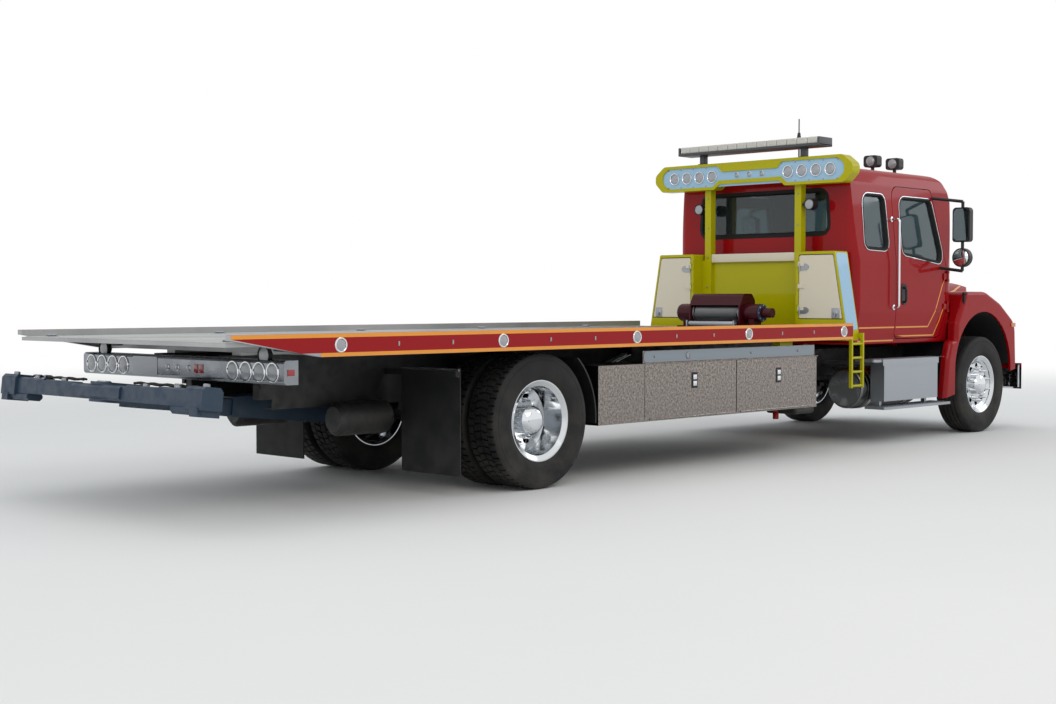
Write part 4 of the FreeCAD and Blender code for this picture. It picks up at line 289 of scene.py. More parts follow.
cadFinishes = {
    blackEnamel: ["chassis_frame", "front_axle", "rear_axle", "chassis_tanks", "tilt_frame",
                  "ram_barrels"],
    iron: ["knuckle_left", "knuckle_right", "engine_block"],
    polishedAluminium: ["front_wheel_left", "front_wheel_right", "rear_wheels_left", "rear_wheels_right"],
    shadedTankAluminium: ["fuel_tanks"],
    redPaint: ["cab_shell", "cab_door_left", "cab_door_right", "hood"],
    cabGlass: ["cab_glass", "door_glass_left", "door_glass_right"],
    seatCloth: ["cab_seats"],
    blackPlastic: ["dashboard", "quarter_fenders", "mirror_left", "mirror_right", "roof_lamps"],
    clearLens: ["headlamps"],
    chromePlate: ["grille", "front_bumper", "ram_rods"],
    treadAluminium: ["cab_steps"],
    paintedReflectionStainless: ["toolboxes", "toolbox_door_rear_left", "toolbox_door_front_left",
                      "toolbox_door_rear_right",
                      "toolbox_door_front_right"],
    tailStainless: ["tail_panel"],
    steel: ["exhaust", "winch_drum"],
    flapRubber: ["mudflaps"],
    yellowPaint: ["headboard", "pylon_housing"],
    creamPaint: ["cabinet_door_left", "cabinet_door_right"],
    bedAluminium: ["deck"],
    maroonPaint: ["winch_housing"],
    liftEnamel: ["lift_arm", "lift_boom", "lift_crossbar"],
    greyPlastic: ["beacon_bar"],
}
for material, names in cadFinishes.items():
    for name in names:
        slots = nodes[name].data.materials
        slots.clear()
        slots.append(material)



# making pieces

def keep(name, mesh, material, body):    # a finished mesh as a piece that moves with a body
    piece = bpy.data.objects.new(name, mesh)
    bpy.context.scene.collection.objects.link(piece)
    mesh.materials.clear()
    mesh.materials.append(material)
    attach(piece, body)
    return piece


def shape(name, make, smooth=35):    # the mesh that a function draws, smooth up to an angle in degrees
    work = bmesh.new()
    make(work)
    bmesh.ops.remove_doubles(work, verts=work.verts, dist=1e-5)
    bmesh.ops.recalc_face_normals(work, faces=work.faces)
    mesh = bpy.data.meshes.new(name)
    work.to_mesh(mesh)
    work.free()
    if smooth:
        mesh.shade_smooth()
        mesh.set_sharp_from_angle(angle=math.radians(smooth))
    return mesh


def build(name, make, material, body, smooth=35):
    return keep(name, shape(name, make, smooth), material, body)


def bothWays(make):    # draws a thing on the left and again on the right
    return lambda work: [make(work, sign) for sign in sides.values()]


def around(n, steps):
    return math.cos(math.tau * n / steps), math.sin(math.tau * n / steps)


def bridge(work, near, far):    # a band of faces between two rings, of triangles where one ring is a point
    for n in range(len(near)):
        m = (n + 1) % len(near)
        corners = [near[n], near[m], far[m], far[n]]
        corners = [c for k, c in enumerate(corners) if c not in corners[:k]]
        if len(corners) > 2:
            work.faces.new(corners)


# faces along a row of rings that may meet its own start
def loft(work, rings, closed=False, capped=True):
    for near, far in zip(rings, rings[1:] + (rings[:1] if closed else [])):
        bridge(work, near, far)
    if capped and not closed:
        work.faces.new(rings[0][::-1])
        work.faces.new(rings[-1])


def lathe(work, profile, centre, axis, steps=48):    # (along, radius) points turned about a line
    axis = Vector(axis).normalized()
    across = axis.orthogonal().normalized()
    side = axis.cross(across)
    rings = []
    for along, radius in profile:
        middle = Vector(centre) + axis * along
        if radius < 1e-6:
            rings.append([work.verts.new(middle)] * steps)
            continue
        rings.append([work.verts.new(middle + (across * c + side * s) * radius)
                      for c, s in (around(n, steps) for n in range(steps))])
    loft(work, rings, capped=False)


def softBox(work, low, high, edge=0.004, segments=2):    # a block with rolled edges
    made = bmesh.ops.create_cube(work, size=1.0)["verts"]
    low, high = Vector(low), Vector(high)
    for vert in made:
        vert.co = Vector((low[k] + (vert.co[k] + 0.5) * (high[k] - low[k]) for k in range(3)))
    edges = list({e for v in made for e in v.link_edges})
    bmesh.ops.bevel(work, geom=edges, offset=edge, segments=segments, profile=0.6, affect="EDGES")


# a soft block on either side, measured on the left
def sideBox(work, sign, low, high, edge=0.004, segments=2):
    near, far = sorted((sign * low[0], sign * high[0]))
    softBox(work, (near, *low[1:]), (far, *high[1:]), edge, segments)


def tube(work, path, radius, steps=12):    # a round bar along a path
    route = [Vector(p) for p in path]
    rings = []
    up = None
    for n, point in enumerate(route):
        ahead = (route[min(n + 1, len(route) - 1)] - route[max(n - 1, 0)]).normalized()
        up = ahead.orthogonal().normalized() if up is None else (up - ahead * up.dot(ahead)).normalized()
        side = ahead.cross(up)
        rings.append([work.verts.new(point + (up * c + side * s) * radius)
                      for c, s in (around(k, steps) for k in range(steps))])
    loft(work, rings)


def bend(path, radius, steps=5):    # the path with each inner corner rounded
    route = [Vector(p) for p in path]
    out = [route[0]]
    for before, here, after in zip(route, route[1:], route[2:]):
        start = here + (before - here).normalized() * radius
        end = here + (after - here).normalized() * radius
        for n in range(steps + 1):
            t = n / steps
            out.append(start * (1 - t) ** 2 + here * 2 * t * (1 - t) + end * t * t)
    return out + [route[-1]]


def prism(work, outline, push):    # a flat outline of 3-D points pushed along a vector
    near = [work.verts.new(Vector(p)) for p in outline]
    far = [work.verts.new(Vector(p) + Vector(push)) for p in outline]
    work.faces.new(near)
    work.faces.new(far[::-1])
    for n in range(len(near)):
        m = (n + 1) % len(near)
        work.faces.new([near[m], near[n], far[n], far[m]])


def closedUp(profile):    # a profile that comes back to its first point
    return profile + profile[:1]


def skinOf(*names):    # the outside of some nodes, for laying trim on
    verts, faces = [], []
    for name in names:
        mesh = nodes[name].data
        base = len(verts)
        verts += [v.co.copy() for v in mesh.vertices]
        faces += [[base + k for k in p.vertices] for p in mesh.polygons]
    return BVHTree.FromPolygons(verts, faces)


# how far off a skin rays start, their length, how trim sinks
ray = {"back": 0.4, "length": 1.2, "sink": 0.0005}


def dropOn(skin, points, way):    # where each point lands on a skin, with the skin's outward normal
    way = Vector(way)
    out = []
    for point in points:
        hit, normal = skin.ray_cast(Vector(point) - way * ray["back"], way, ray["length"])[:2]
        hit, normal = (Vector(point), -way) if hit is None else (hit, normal)
        out.append((hit, -normal if normal.dot(way) > 0 else normal))
    return out


def layOn(skin, points, way, width, thick, work, closed=False):
    # a strip of a given width laid along points, dropped on to a skin in one direction
    way = Vector(way)
    rings = []
    count = len(points)
    for n, point in enumerate(points):
        ahead = (Vector(points[(n + 1) % count if closed else min(n + 1, count - 1)]) -
                 Vector(points[n - 1 if closed or n else 0])).normalized()
        side = ahead.cross(way).normalized() * width / 2
        (a, up), (b, lift) = dropOn(skin, [Vector(point) - side, Vector(point) + side], way)
        rings.append([work.verts.new(p) for p in (a - up * ray["sink"], a + up * thick, b + lift * thick,
                                                  b - lift * ray["sink"])])
    loft(work, rings, closed)


# (a, b, radius) corners as evenly spaced points, each corner an arc
def roundOutline(corners, step=0.03):
    out = []
    for n, (a, b, radius) in enumerate(corners):
        here = Vector((a, b))
        before, after = Vector(corners[n - 1][:2]), Vector(corners[(n + 1) % len(corners)][:2])
        back, ahead = (before - here).normalized(), (after - here).normalized()
        half = back.angle(ahead) / 2
        reach = radius / math.tan(half)
        centre = here + (back + ahead).normalized() * radius / math.sin(half)
        start, end = here + back * reach - centre, here + ahead * reach - centre
        swing = start.angle_signed(end)
        bits = max(2, int(abs(swing) * radius / step) + 2)
        for k in range(bits):
            turn = -swing * k / (bits - 1)
            out.append((centre.x + start.x * math.cos(turn) - start.y * math.sin(turn),
                        centre.y + start.x * math.sin(turn) + start.y * math.cos(turn)))
    even = []
    for n, point in enumerate(out):
        gap = Vector(out[(n + 1) % len(out)]) - Vector(point)
        bits = max(1, int(gap.length / step))
        even += [tuple(Vector(point) + gap * k / bits) for k in range(bits)]
    return even


def roundPlate(low, high, radius, step=0.1):    # a rectangle with round corners, as flat points
    (a, b), (c, d) = low, high
    return roundOutline([(a, b, radius), (c, b, radius), (c, d, radius), (a, d, radius)], step)


def shift(outline, amount):    # a closed flat outline moved outwards all round
    area = sum(a[0] * b[1] - b[0] * a[1] for a, b in zip(outline, outline[1:] + outline[:1]))
    grow = amount * (1 if area > 0 else -1)
    out = []
    for n, (a, b) in enumerate(outline):
        along = (Vector(outline[(n + 1) % len(outline)]) - Vector(outline[n - 1])).normalized()
        out.append((a + along.y * grow, b - along.x * grow))
    return out


# two trees of geometry nodes set out what repeats: a blank at each point of a row or of a ring

def layoutTree(ring):
    tree = bpy.data.node_groups.new("ring of pieces" if ring else "row of pieces", "GeometryNodeTree")
    face = tree.interface
    for name, kind in (("Blank", "Object"), ("Count", "Int"), ("Start", "Vector"), ("Step", "Vector"),
                       ("Radius", "Float"), ("Turn", "Vector"), ("Finish", "Material")):
        face.new_socket(name=name, in_out="INPUT", socket_type="NodeSocket" + kind)
    face.new_socket(name="Geometry", in_out="OUTPUT", socket_type="NodeSocketGeometry")
    given = put(tree, "NodeGroupInput").outputs
    blank = put(tree, "GeometryNodeObjectInfo", {"transform_space": "ORIGINAL"},
                {"Object": given["Blank"]})
    links = {"Instance": blank.outputs["Geometry"]}
    if ring:
        circle = put(tree, "GeometryNodeMeshCircle", None,
                     {"Vertices": given["Count"], "Radius": given["Radius"]})
        spot = put(tree, "GeometryNodeInputPosition")
        facing = put(tree, "FunctionNodeAlignRotationToVector", {"axis": "X", "pivot_axis": "Z"},
                     {"Vector": spot.outputs["Position"]})
        links.update(Points=circle.outputs["Mesh"], Rotation=facing.outputs["Rotation"])
    else:
        line = put(tree, "GeometryNodeMeshLine", None,
                   {"Count": given["Count"], "Start Location": given["Start"],
                                                        "Offset": given["Step"]})
        links.update(Points=line.outputs["Mesh"])
    last = put(tree, "GeometryNodeInstanceOnPoints", None, links).outputs["Instances"]
    if ring:
        last = put(tree, "GeometryNodeTransform", None, {"Geometry": last, "Translation": given["Start"],
                                                         "Rotation": given["Turn"]}).outputs["Geometry"]
    real = put(tree, "GeometryNodeRealizeInstances", None, {"Geometry": last})
    painted = put(tree, "GeometryNodeSetMaterial", None, {"Geometry": real.outputs["Geometry"],
                                                          "Material": given["Finish"]})
    put(tree, "NodeGroupOutput", None, {"Geometry": painted.outputs["Geometry"]})
    return tree


rowTree, ringTree = layoutTree(False), layoutTree(True)


def layOut(name, tree, blank, values, material, body):    # the tree's result as a plain mesh on a body
    maker = bpy.data.objects.new(name + "Blank", blank)
    holder = bpy.data.objects.new(name, bpy.data.meshes.new(name))
    for item in (maker, holder):
        bpy.context.scene.collection.objects.link(item)
    change = holder.modifiers.new("Layout", "NODES")
    change.node_group = tree
    values = dict(values, Blank=maker, Finish=material)
    for item in tree.interface.items_tree:
        if item.in_out == "INPUT" and item.name in values:
            change[item.identifier] = values[item.name]
    seen = holder.evaluated_get(bpy.context.evaluated_depsgraph_get())
    mesh = bpy.data.meshes.new_from_object(seen)
    holder.modifiers.clear()
    bpy.data.objects.remove(holder)
    bpy.data.objects.remove(maker)
    return keep(name, mesh, material, body)


def layRow(name, blank, count, start, step, material, body):
    return layOut(name, rowTree, blank, {"Count": count, "Start": start, "Step": step}, material, body)


# round a wheel or drum, facing outwards
def layRing(name, blank, count, radius, centre, sign, material, body):
    return layOut(name, ringTree, blank,
                  {"Count": count, "Radius": radius, "Turn": (0, math.pi / 2 * sign, 0),
                                          "Start": centre}, material, body)


def knob(name, profile, axis, steps, smooth=35):    # a small turned blank at the origin
    return shape(name, lambda work: lathe(work, profile, (0, 0, 0), axis, steps), smooth)


# wheels and tyres

wheel = {"height": 0.502, "front": -4.38, "rear": 2.42, "steer": 1.02, "inner": 0.762, "outer": 1.08,
         "nutRing": 0.1676, "nuts": 10, "boltRing": 0.07, "bolts": 8, "tyreSteps": 72}
sidewall = [(0.1017, 0.2703), (0.1097, 0.3003), (0.119, 0.3035), (0.124, 0.313), (0.129, 0.322),
            (0.134, 0.337),
            (0.1385, 0.365), (0.14, 0.397), (0.139, 0.425), (0.1365, 0.446), (0.1345, 0.4475),
            (0.1345, 0.452),
            (0.1358, 0.454), (0.134, 0.468), (0.1305, 0.483), (0.124, 0.493)]
ribTread = {"edge": 0.113, "top": 0.5018, "crown": 0.0015, "grooves": (-0.068, -0.0235, 0.0235, 0.068),
            "half": 0.006, "floor": 0.6, "depth": 0.014}
lugTread = {"floor": 0.4854, "edge": 0.119, "count": 56, "ring": 0.4921, "tall": 0.0068, "long": 0.021,
            "skew": 0.006, "sunk": 0.008, "stagger": 0.0277, "blockNear": 0.006, "blockFar": 0.058,
            "shoulder": 0.068}


def casing(work, tread, x, y):    # a tyre from its tread's profile, with the same sidewall on either side
    profile = [(-a, r) for a, r in sidewall] + tread + sidewall[::-1]
    lathe(work, closedUp(profile), (x, y, wheel["height"]), (1, 0, 0), wheel["tyreSteps"])


def ribbedTread():
    edge, half, depth = ribTread["edge"], ribTread["half"], ribTread["depth"]
    drops = [(-edge, 0)]
    for middle in ribTread["grooves"]:
        floor = half * ribTread["floor"]
        drops += [(middle - half, 0), (middle - floor, depth), (middle + floor, depth), (middle + half, 0)]
    return [(a, ribTread["top"] - ribTread["crown"] * (a / edge) ** 2 - drop) for a,
            drop in drops + [(edge, 0)]]


def luggedTread():
    return [(-lugTread["edge"], lugTread["floor"]), (lugTread["edge"], lugTread["floor"])]


# one pitch of the drive tread: two shoulder lugs and two staggered blocks between them
def lugBlank(work):
    tall, long, skew, sunk = (lugTread[word] for word in ("tall", "long", "skew", "sunk"))
    near, far, start = lugTread["blockNear"], lugTread["blockFar"], lugTread["shoulder"]
    for side in (-1, 1):
        shoulder = [(start, tall), (0.112, tall - 0.001), (0.125, tall - 0.008), (0.13, -0.015),
                    (start, -sunk)]
        prism(work, [(x, -long + skew * side, side * z) for z, x in shoulder], (0, 2 * long, 0))
        block = [(near, -long - skew), (far, -long + skew), (far, long + skew), (near, long - skew)]
        prism(work, [(-sunk, y + lugTread["stagger"], side * z) for z, y in block], (tall + sunk, 0, 0))


lug = shape("treadLug", lugBlank, 0)
for side, sign in sides.items():
    tyre = build("frontTyre" + side.title(),
                 lambda work: casing(work, ribbedTread(), sign * wheel["steer"], wheel["front"]),
                 tyreRubber, "wheel_front_" + side)
    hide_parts("front_tyre_" + side)
    body = "wheels_rear_" + side
    casings = build("rearTyres" + side.title(), lambda work: [
        casing(work, luggedTread(), sign * wheel[place], wheel["rear"]) for place in ("inner", "outer")],
        tyreRubber, body)
    for place in ("inner", "outer"):
        layRing("rearTread%s%s" % (place.title(), side.title()), lug, lugTread["count"], lugTread["ring"],
                (sign * wheel[place], wheel["rear"], wheel["height"]), sign, tyreRubber, body)
    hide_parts("rear_tyres_" + side)
print("tyres done")

spike = [(0, 0), (0, 0.0235), (0.004, 0.0235), (0.011, 0.0195), (0.032, 0.0185), (0.037, 0.0155),
         (0.074, 0.0045), (0.08, 0)]
capBolt = [(0, 0), (0, 0.0085), (0.005, 0.0085), (0.007, 0.006), (0.007, 0)]
frontHat = [(1.116, 0.105), (1.118, 0.1075), (1.13, 0.1075), (1.1345, 0.1035), (1.159, 0.086),
            (1.166, 0.074),
            (1.172, 0.053), (1.1735, 0)]
rearHat = [(1.06, 0.105), (1.062, 0.108), (1.118, 0.108), (1.124, 0.103), (1.149, 0.086), (1.156, 0.074),
           (1.162, 0.053), (1.1635, 0)]
axles = {"front": {"y": wheel["front"], "disc": 1.09, "hat": frontHat, "boltFace": 1.16,
                   "body": "wheel_front_"},
         "rear": {"y": wheel["rear"], "disc": 0.937, "hat": rearHat, "boltFace": 1.15,
                  "body": "wheels_rear_"}}
valve = {"path": ((-0.004, 0.238), (0.03, 0.232), (0.052, 0.218)), "bend": 0.012, "radius": 0.0045}


def valveStem(work, at, sign):    # from the disc's hand hole outwards, given as (out, up) from the hub
    path = [(sign * (at["disc"] + out), at["y"], wheel["height"] + up) for out, up in valve["path"]]
    tube(work, bend(path, valve["bend"]), valve["radius"], 10)


spikeBlank = knob("nutCover", spike, (0, 0, 1), 20)
boltBlank = knob("hubBolt", capBolt, (0, 0, 1), 6, 0)
for side, sign in sides.items():
    for place, at in axles.items():
        body, name = at["body"] + side, place.title() + side.title()
        layRing("nutCovers" + name, spikeBlank, wheel["nuts"], wheel["nutRing"],
                (sign * at["disc"], at["y"], wheel["height"]), sign, chromePlate, body)
        layRing("hubBolts" + name, boltBlank, wheel["bolts"], wheel["boltRing"],
                (sign * at["boltFace"], at["y"], wheel["height"]), sign, steel, body)
        build("hubHat" + name, lambda work: lathe(work, [(sign * a, r) for a, r in at["hat"]],
                                                  (0, at["y"], wheel["height"]), (1, 0, 0),
                                                  48), chromePlate, body)
        build("valveStem" + name, lambda work: valveStem(work, at, sign), steel, body)
print("wheel fittings done")


# side rails, floor and lamps of the deck

deck = {"tail": 5.2, "taper": 4.52, "half": 1.295, "low": 1.027, "high": 1.174, "tip": 1.14,
        "band": 0.025, "floor": 1.1246, "skin": 0.0008, "off": 0.0001, "start": -1.649, "lip": 0.0005,
        "railTop": 0.0575, "point": 0.02, "topEnd": 0.004}


def railFilm(work, sign, outline):    # a thin film on the outside of one rail
    x = sign * (deck["half"] + deck["off"])
    prism(work, [(x, y, z) for y, z in outline], (sign * deck["skin"], 0, 0))


def railBand(work, sign, top, bottom, tail):
    railFilm(work, sign, [(deck["start"], bottom), (tail, bottom), (tail, top), (deck["start"], top)])


# the red field between the bands, ending in a point, and the painted top of the rail
def redRail(work, sign):
    low, high = deck["low"] + deck["band"], deck["high"] - deck["band"]
    rise, run = deck["tip"] - deck["low"], deck["tail"] - deck["taper"]
    meet = deck["taper"] + deck["band"] / rise * run
    pointed = deck["taper"] + (high - deck["low"]) / rise * run - deck["point"]
    railFilm(work, sign, [(deck["start"], low), (meet, low), (min(pointed, deck["tail"]), high),
                          (deck["start"], high)])
    outer, inner = sign * (deck["half"] - deck["lip"]), sign * (deck["half"] - deck["railTop"])
    end = deck["tail"] - deck["topEnd"]
    prism(work, [(outer, deck["start"], deck["high"]), (inner, deck["start"], deck["high"]),
                 (inner, end, deck["high"]), (outer, end, deck["high"])], (0, 0, deck["skin"]))


build("railPaint", bothWays(redRail), redPaint, "bed", 0)
build("railBandTop", bothWays(lambda work, sign: railBand(
    work, sign, deck["high"] - deck["lip"], deck["high"] - deck["band"],
    deck["tail"] - 0.001)), orangeVinyl, "bed", 0)
build("railBandFoot", bothWays(lambda work, sign: railBand(
    work, sign, deck["low"] + deck["band"], deck["low"] + deck["lip"],
    deck["taper"])), orangeVinyl, "bed", 0)

plank = {"pitch": 0.102, "half": 0.04925, "start": -1.22, "long": 6.405, "thick": 0.002, "rib": 0.0045,
         "ribAt": (0.017, 0.0185, 0.0275, 0.029), "count": 24, "off": 0.0002}


def plankBlank(work):    # one extruded plank: a flat with two raised ribs
    a, b, c, d = plank["ribAt"]
    half, thick, rib = plank["half"], plank["thick"], plank["rib"]
    right = [(a, thick), (b, rib), (c, rib), (d, thick), (half, thick), (half, 0)]
    section = [(-x, z) for x, z in right[::-1]] + right
    prism(work, [(x, plank["start"], deck["floor"] + plank["off"] + z) for x, z in section],
          (0, plank["long"], 0))


layRow("deckPlanks", shape("plankBlank", plankBlank, 0), plank["count"],
       (-plank["pitch"] * (plank["count"] - 1) / 2, 0, 0), (plank["pitch"], 0, 0), bedAluminium, "bed")

lamp = {"first": 4.362, "pitch": 1.464, "z": 1.1005, "count": 5,
        "bezel": [(0, 0.05), (0.003, 0.05), (0.0075, 0.0465), (0.008, 0.042), (0.006, 0.0385),
                  (0.0022, 0.037),
                  (0, 0.037)],
        "dome": [(0.001, 0.0374), (0.0035, 0.0355), (0.006, 0.025), (0.007, 0.012), (0.0073, 0)]}


def railRound(work, sign, profile, steps):
    lathe(work, [(sign * a, r) for a, r in profile], (sign * deck["half"], 0, lamp["z"]), (1, 0, 0), steps)


lampRow = (lamp["count"], (0, lamp["first"], 0), (0, -lamp["pitch"], 0))
bezels = layRow("railLampBezels", shape("bezelBlank", bothWays(
    lambda work, sign: railRound(work, sign, closedUp(lamp["bezel"]), 32))), *lampRow, chromePlate, "bed")
layRow("railLampLenses", shape("lensBlank", bothWays(
    lambda work, sign: railRound(work, sign, lamp["dome"], 24))), *lampRow, clearLens, "bed")
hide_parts("deck_lamps")

marker = {"z": 1.1, "tall": 0.03, "wide": 0.012, "deep": 0.006, "edge": 0.0028}


def markerBlank(work, sign):    # a small lamp let into the rail between two round ones
    wide, tall = marker["wide"] / 2, marker["tall"] / 2
    sideBox(work, sign, (deck["half"], -wide, marker["z"] - tall),
            (deck["half"] + marker["deep"], wide, marker["z"] + tall), marker["edge"], 3)


for share, word in ((1 / 3, "Rear"), (2 / 3, "Front")):
    layRow("railMarkers" + word, shape("markerBlank" + word, bothWays(markerBlank)), lamp["count"] - 1,
           (0, lamp["first"] - lamp["pitch"] * share, 0), (0, -lamp["pitch"], 0), clearLens, "bed")

ring = {"x": 1.07, "start": -0.62, "pitch": 1.42, "count": 5, "radius": 0.03, "wire": 0.0075,
        "lift": 0.0042,
        "over": 0.0095, "plate": [(0.048, 0), (0.048, 0.002), (0.04, 0.0025), (0.036, 0.0006),
                                  (0, 0.0006)]}


def tieRing(work, sign):    # a forged ring lying in its dished plate
    x, z, r = sign * ring["x"], deck["floor"] + ring["lift"], ring["radius"]
    lathe(work, [(z + out, wide) for wide, out in ring["plate"]], (x, 0, 0), (0, 0, 1), 28)
    tube(work, [(x + r * c, r * s, z + ring["over"]) for c, s in (around(n, 24) for n in range(25))],
         ring["wire"], 10)


layRow("tieRings", shape("tieRingBlank", bothWays(tieRing)), ring["count"], (0, ring["start"], 0),
       (0, ring["pitch"], 0), steel, "bed")

workLamp = {"x": 0.958, "y": 4.708, "z": 1.035, "under": deck["floor"] - 0.024,
            "arm": (0.014, 0.035, 0.005, 0.031), "cable": (0.2, 0.1, 0.03, 0.01, 0.038),
            "shell": [(-0.045, 0), (-0.045, 0.0279), (-0.02, 0.0589), (0, 0.062), (0.012, 0.062),
                      (0.014, 0.058),
                      (0.006, 0.054)],
            "lens": [(0.004, 0.054), (0.008, 0.05), (0.011, 0.03), (0.012, 0)]}
postLamp = {"x": 0.659, "y": -1.88, "z": 2.3, "arm": (0.576, 0.615, 0.03, 0.004, 0.014),
            "shell": [(-0.05, 0), (-0.05, 0.0275), (-0.022, 0.0528), (0, 0.055), (0.01, 0.055),
                      (0.012, 0.051),
                      (0.005, 0.047)],
            "lens": [(0.003, 0.047), (0.007, 0.044), (0.01, 0.026), (0.011, 0)]}


def lampTurning(work, sign, at, word):    # the shell or the lens of a round lamp
    lathe(work, at[word], (sign * at["x"], at["y"], at["z"]), (0, 1, 0), 32)


def tailWorkLamp(work, sign):    # a round lamp on a bracket under the bed, with its cable box beside it
    x, y, z, top = (workLamp[word] for word in ("x", "y", "z", "under"))
    half, front, back, foot = workLamp["arm"]
    far, near, ahead, behind, tall = workLamp["cable"]
    lampTurning(work, sign, workLamp, "shell")
    sideBox(work, sign, (x - half, y - front, z + foot), (x + half, y - back, top), 0.003)
    softBox(work, (sign * x - far, y - ahead, top - tall), (sign * x - near, y + behind, top), 0.006)


build("tailWorkLamps", bothWays(tailWorkLamp), blackPlastic, "bed")
build("tailWorkLenses", bothWays(lambda work, sign: lampTurning(work, sign, workLamp, "lens")), clearLens,
      "bed")
print("deck done")


# winch

winch = {"y": -1.385, "z": 1.2656, "half": 0.252, "core": 0.07, "rope": 0.0065, "layers": 3, "lay": 2.04,
         "nest": 1.8, "turnSteps": 20, "capX": 0.47, "boltOut": 0.013,
         "cap": [(0, 0.08), (0.006, 0.082), (0.014, 0.079), (0.016, 0.06), (0.0115, 0.056), (0.0115, 0.03),
                 (0.017, 0.026), (0.017, 0)]}


def woundRope(work):    # layers of rope laid side by side on the drum, each layer wound back over the last
    path = []
    steps = int(winch["half"] * 2 / (winch["rope"] * winch["lay"])) * winch["turnSteps"]
    for layer in range(winch["layers"]):
        radius = winch["core"] + winch["rope"] * (1 + winch["nest"] * layer)
        for n in range(steps + 1):
            x = (-winch["half"] + 2 * winch["half"] * (n / steps)) * (1 if layer % 2 == 0 else -1)
            c, s = around(n, winch["turnSteps"])
            path.append((x, winch["y"] + radius * c, winch["z"] + radius * s))
    tube(work, path, winch["rope"], 6)


def gearCap(work, sign):    # the cap is open in the middle on the right, where the motor stands
    cap = winch["cap"] if sign > 0 else winch["cap"][:5] + [(0.0115, 0.046)]
    lathe(work, [(sign * a, r) for a, r in cap], (sign * winch["capX"], winch["y"], winch["z"]),
          (1, 0, 0), 40)


build("winchRope", woundRope, ropeSteel, "drum")
build("winchCaps", bothWays(gearCap), liftEnamel, "bed")
capBoltBlank = knob("capBoltBlank", capBolt, (0, 0, 1), 6, 0)
for side, sign in sides.items():
    layRing("winchBolts" + side.title(), capBoltBlank, 8, 0.07,
            (sign * (winch["capX"] + winch["boltOut"]), winch["y"], winch["z"]), sign, steel, "bed")

roller = {"y": winch["y"] + 0.165, "z": 1.163, "cheek": 0.277, "thick": 0.008, "deep": 0.028,
          "foot": 1.128,
          "rise": 0.03, "pin": 0.279,
          "drum": [(-0.262, 0), (-0.262, 0.021), (-0.255, 0.024), (0.255, 0.024), (0.262, 0.021),
                   (0.262, 0)],
          "pinProfile": [(-0.012, 0), (-0.012, 0.012), (0.012, 0.012), (0.012, 0)]}


def rollerGuide(work):    # tensioning roller across the mouth of the winch, between two cheeks
    y, z, x, thick = (roller[word] for word in ("y", "z", "cheek", "thick"))
    lathe(work, roller["drum"], (0, y, z), (1, 0, 0), 28)
    for sign in sides.values():
        sideBox(work, sign, (x - thick, y - roller["deep"], roller["foot"]),
                (x + thick, y + roller["deep"], z + roller["rise"]), 0.004)
        lathe(work, roller["pinProfile"], (sign * roller["pin"], y, z), (1, 0, 0), 16)


build("winchRoller", rollerGuide, steel, "bed")
print("winch done")


# toolboxes

box = {"face": 1.22, "rear": 1.245, "front": -1.165, "latchZ": 0.735, "closedFront": 1.28,
       "closedRear": 1.78,
       "doors": {"Rear": ("box_rear_", 0.614), "Front": ("box_front_", -0.574)}}
latch = {"wide": 0.0375, "tall": 0.065, "rings": ((1, 1, 0.0004), (1, 1, 0.003), (0.8, 0.88, 0.0045),
                                                  (0.72, 0.82, 0.0012)),
         "paddles": ((-0.046, -0.006), (0.006, 0.046)), "half": 0.023, "near": 0.002, "far": 0.009}


def latchDish(work, y, sign):    # a stamped dish inside a raised rim
    loft(work, [[work.verts.new((sign * (box["face"] + out), y + a * latch["wide"] * wide,
                                 box["latchZ"] + b * latch["tall"] * tall))
                 for a, b in ((-1, -1), (1, -1), (1, 1), (-1, 1))] for wide, tall, out in latch["rings"]])


def latchPaddles(work, y, sign):    # two paddles folded into the dish
    for low, high in latch["paddles"]:
        sideBox(work, sign, (box["face"] + latch["near"], y - latch["half"], box["latchZ"] + low),
                (box["face"] + latch["far"], y + latch["half"], box["latchZ"] + high), 0.0028, 3)


for side, sign in sides.items():
    for word, (body, y) in box["doors"].items():
        build("boxLatch" + word + side.title(), lambda work: latchDish(work, y, sign), blackEnamel,
              body + side)
        build("latchPaddles" + word + side.title(), lambda work: latchPaddles(work, y, sign), chromePlate,
              body + side)

trims = (((1.2205, box["front"] - 0.012, 0.8835), (1.229, box["rear"] + 0.012, 0.889)),
         ((1.2195, box["closedFront"], 0.45), (1.2212, box["closedRear"], 0.462)),
         ((1.2195, box["closedFront"], 0.855), (1.2212, box["closedRear"], 0.867)))


def boxTrim(work, sign):    # folded drip edge above the doors and the seam strips of the closed bay
    for low, high in trims:
        sideBox(work, sign, low, high, 0.0008)


shelf = {"x": 1.1972, "low": 0.895, "high": 0.982, "in": 0.01, "round": 0.018, "thick": 0.003, "face": 1.2,
         "handleY": 0.67, "z": 0.938, "boltY": (-0.2, -0.9, 1.1),
         "handle": [(0, 0.03), (0.004, 0.03), (0.006, 0.027), (0.006, 0.02), (0.002, 0.018), (0.002, 0)],
         "bolt": [(0, 0.01), (0.005, 0.0095), (0.007, 0.006), (0.0075, 0)]}


def shelfPlate(work, sign):    # brushed plate above the boxes
    outline = roundPlate((box["front"] + shelf["in"], shelf["low"]),
                         (box["rear"] - shelf["in"], shelf["high"]),
                         shelf["round"], 0.2)
    prism(work, [(sign * shelf["x"], a, b) for a, b in outline], (sign * shelf["thick"], 0, 0))


def shelfHandle(work, sign):    # a turned pull and three bolt heads
    for profile, steps, places in ((shelf["handle"], 28, (shelf["handleY"],)),
                                   (shelf["bolt"], 14, shelf["boltY"])):
        for y in places:
            lathe(work, [(sign * a, r) for a, r in profile], (sign * shelf["face"], y, shelf["z"]),
                  (1, 0, 0), steps)


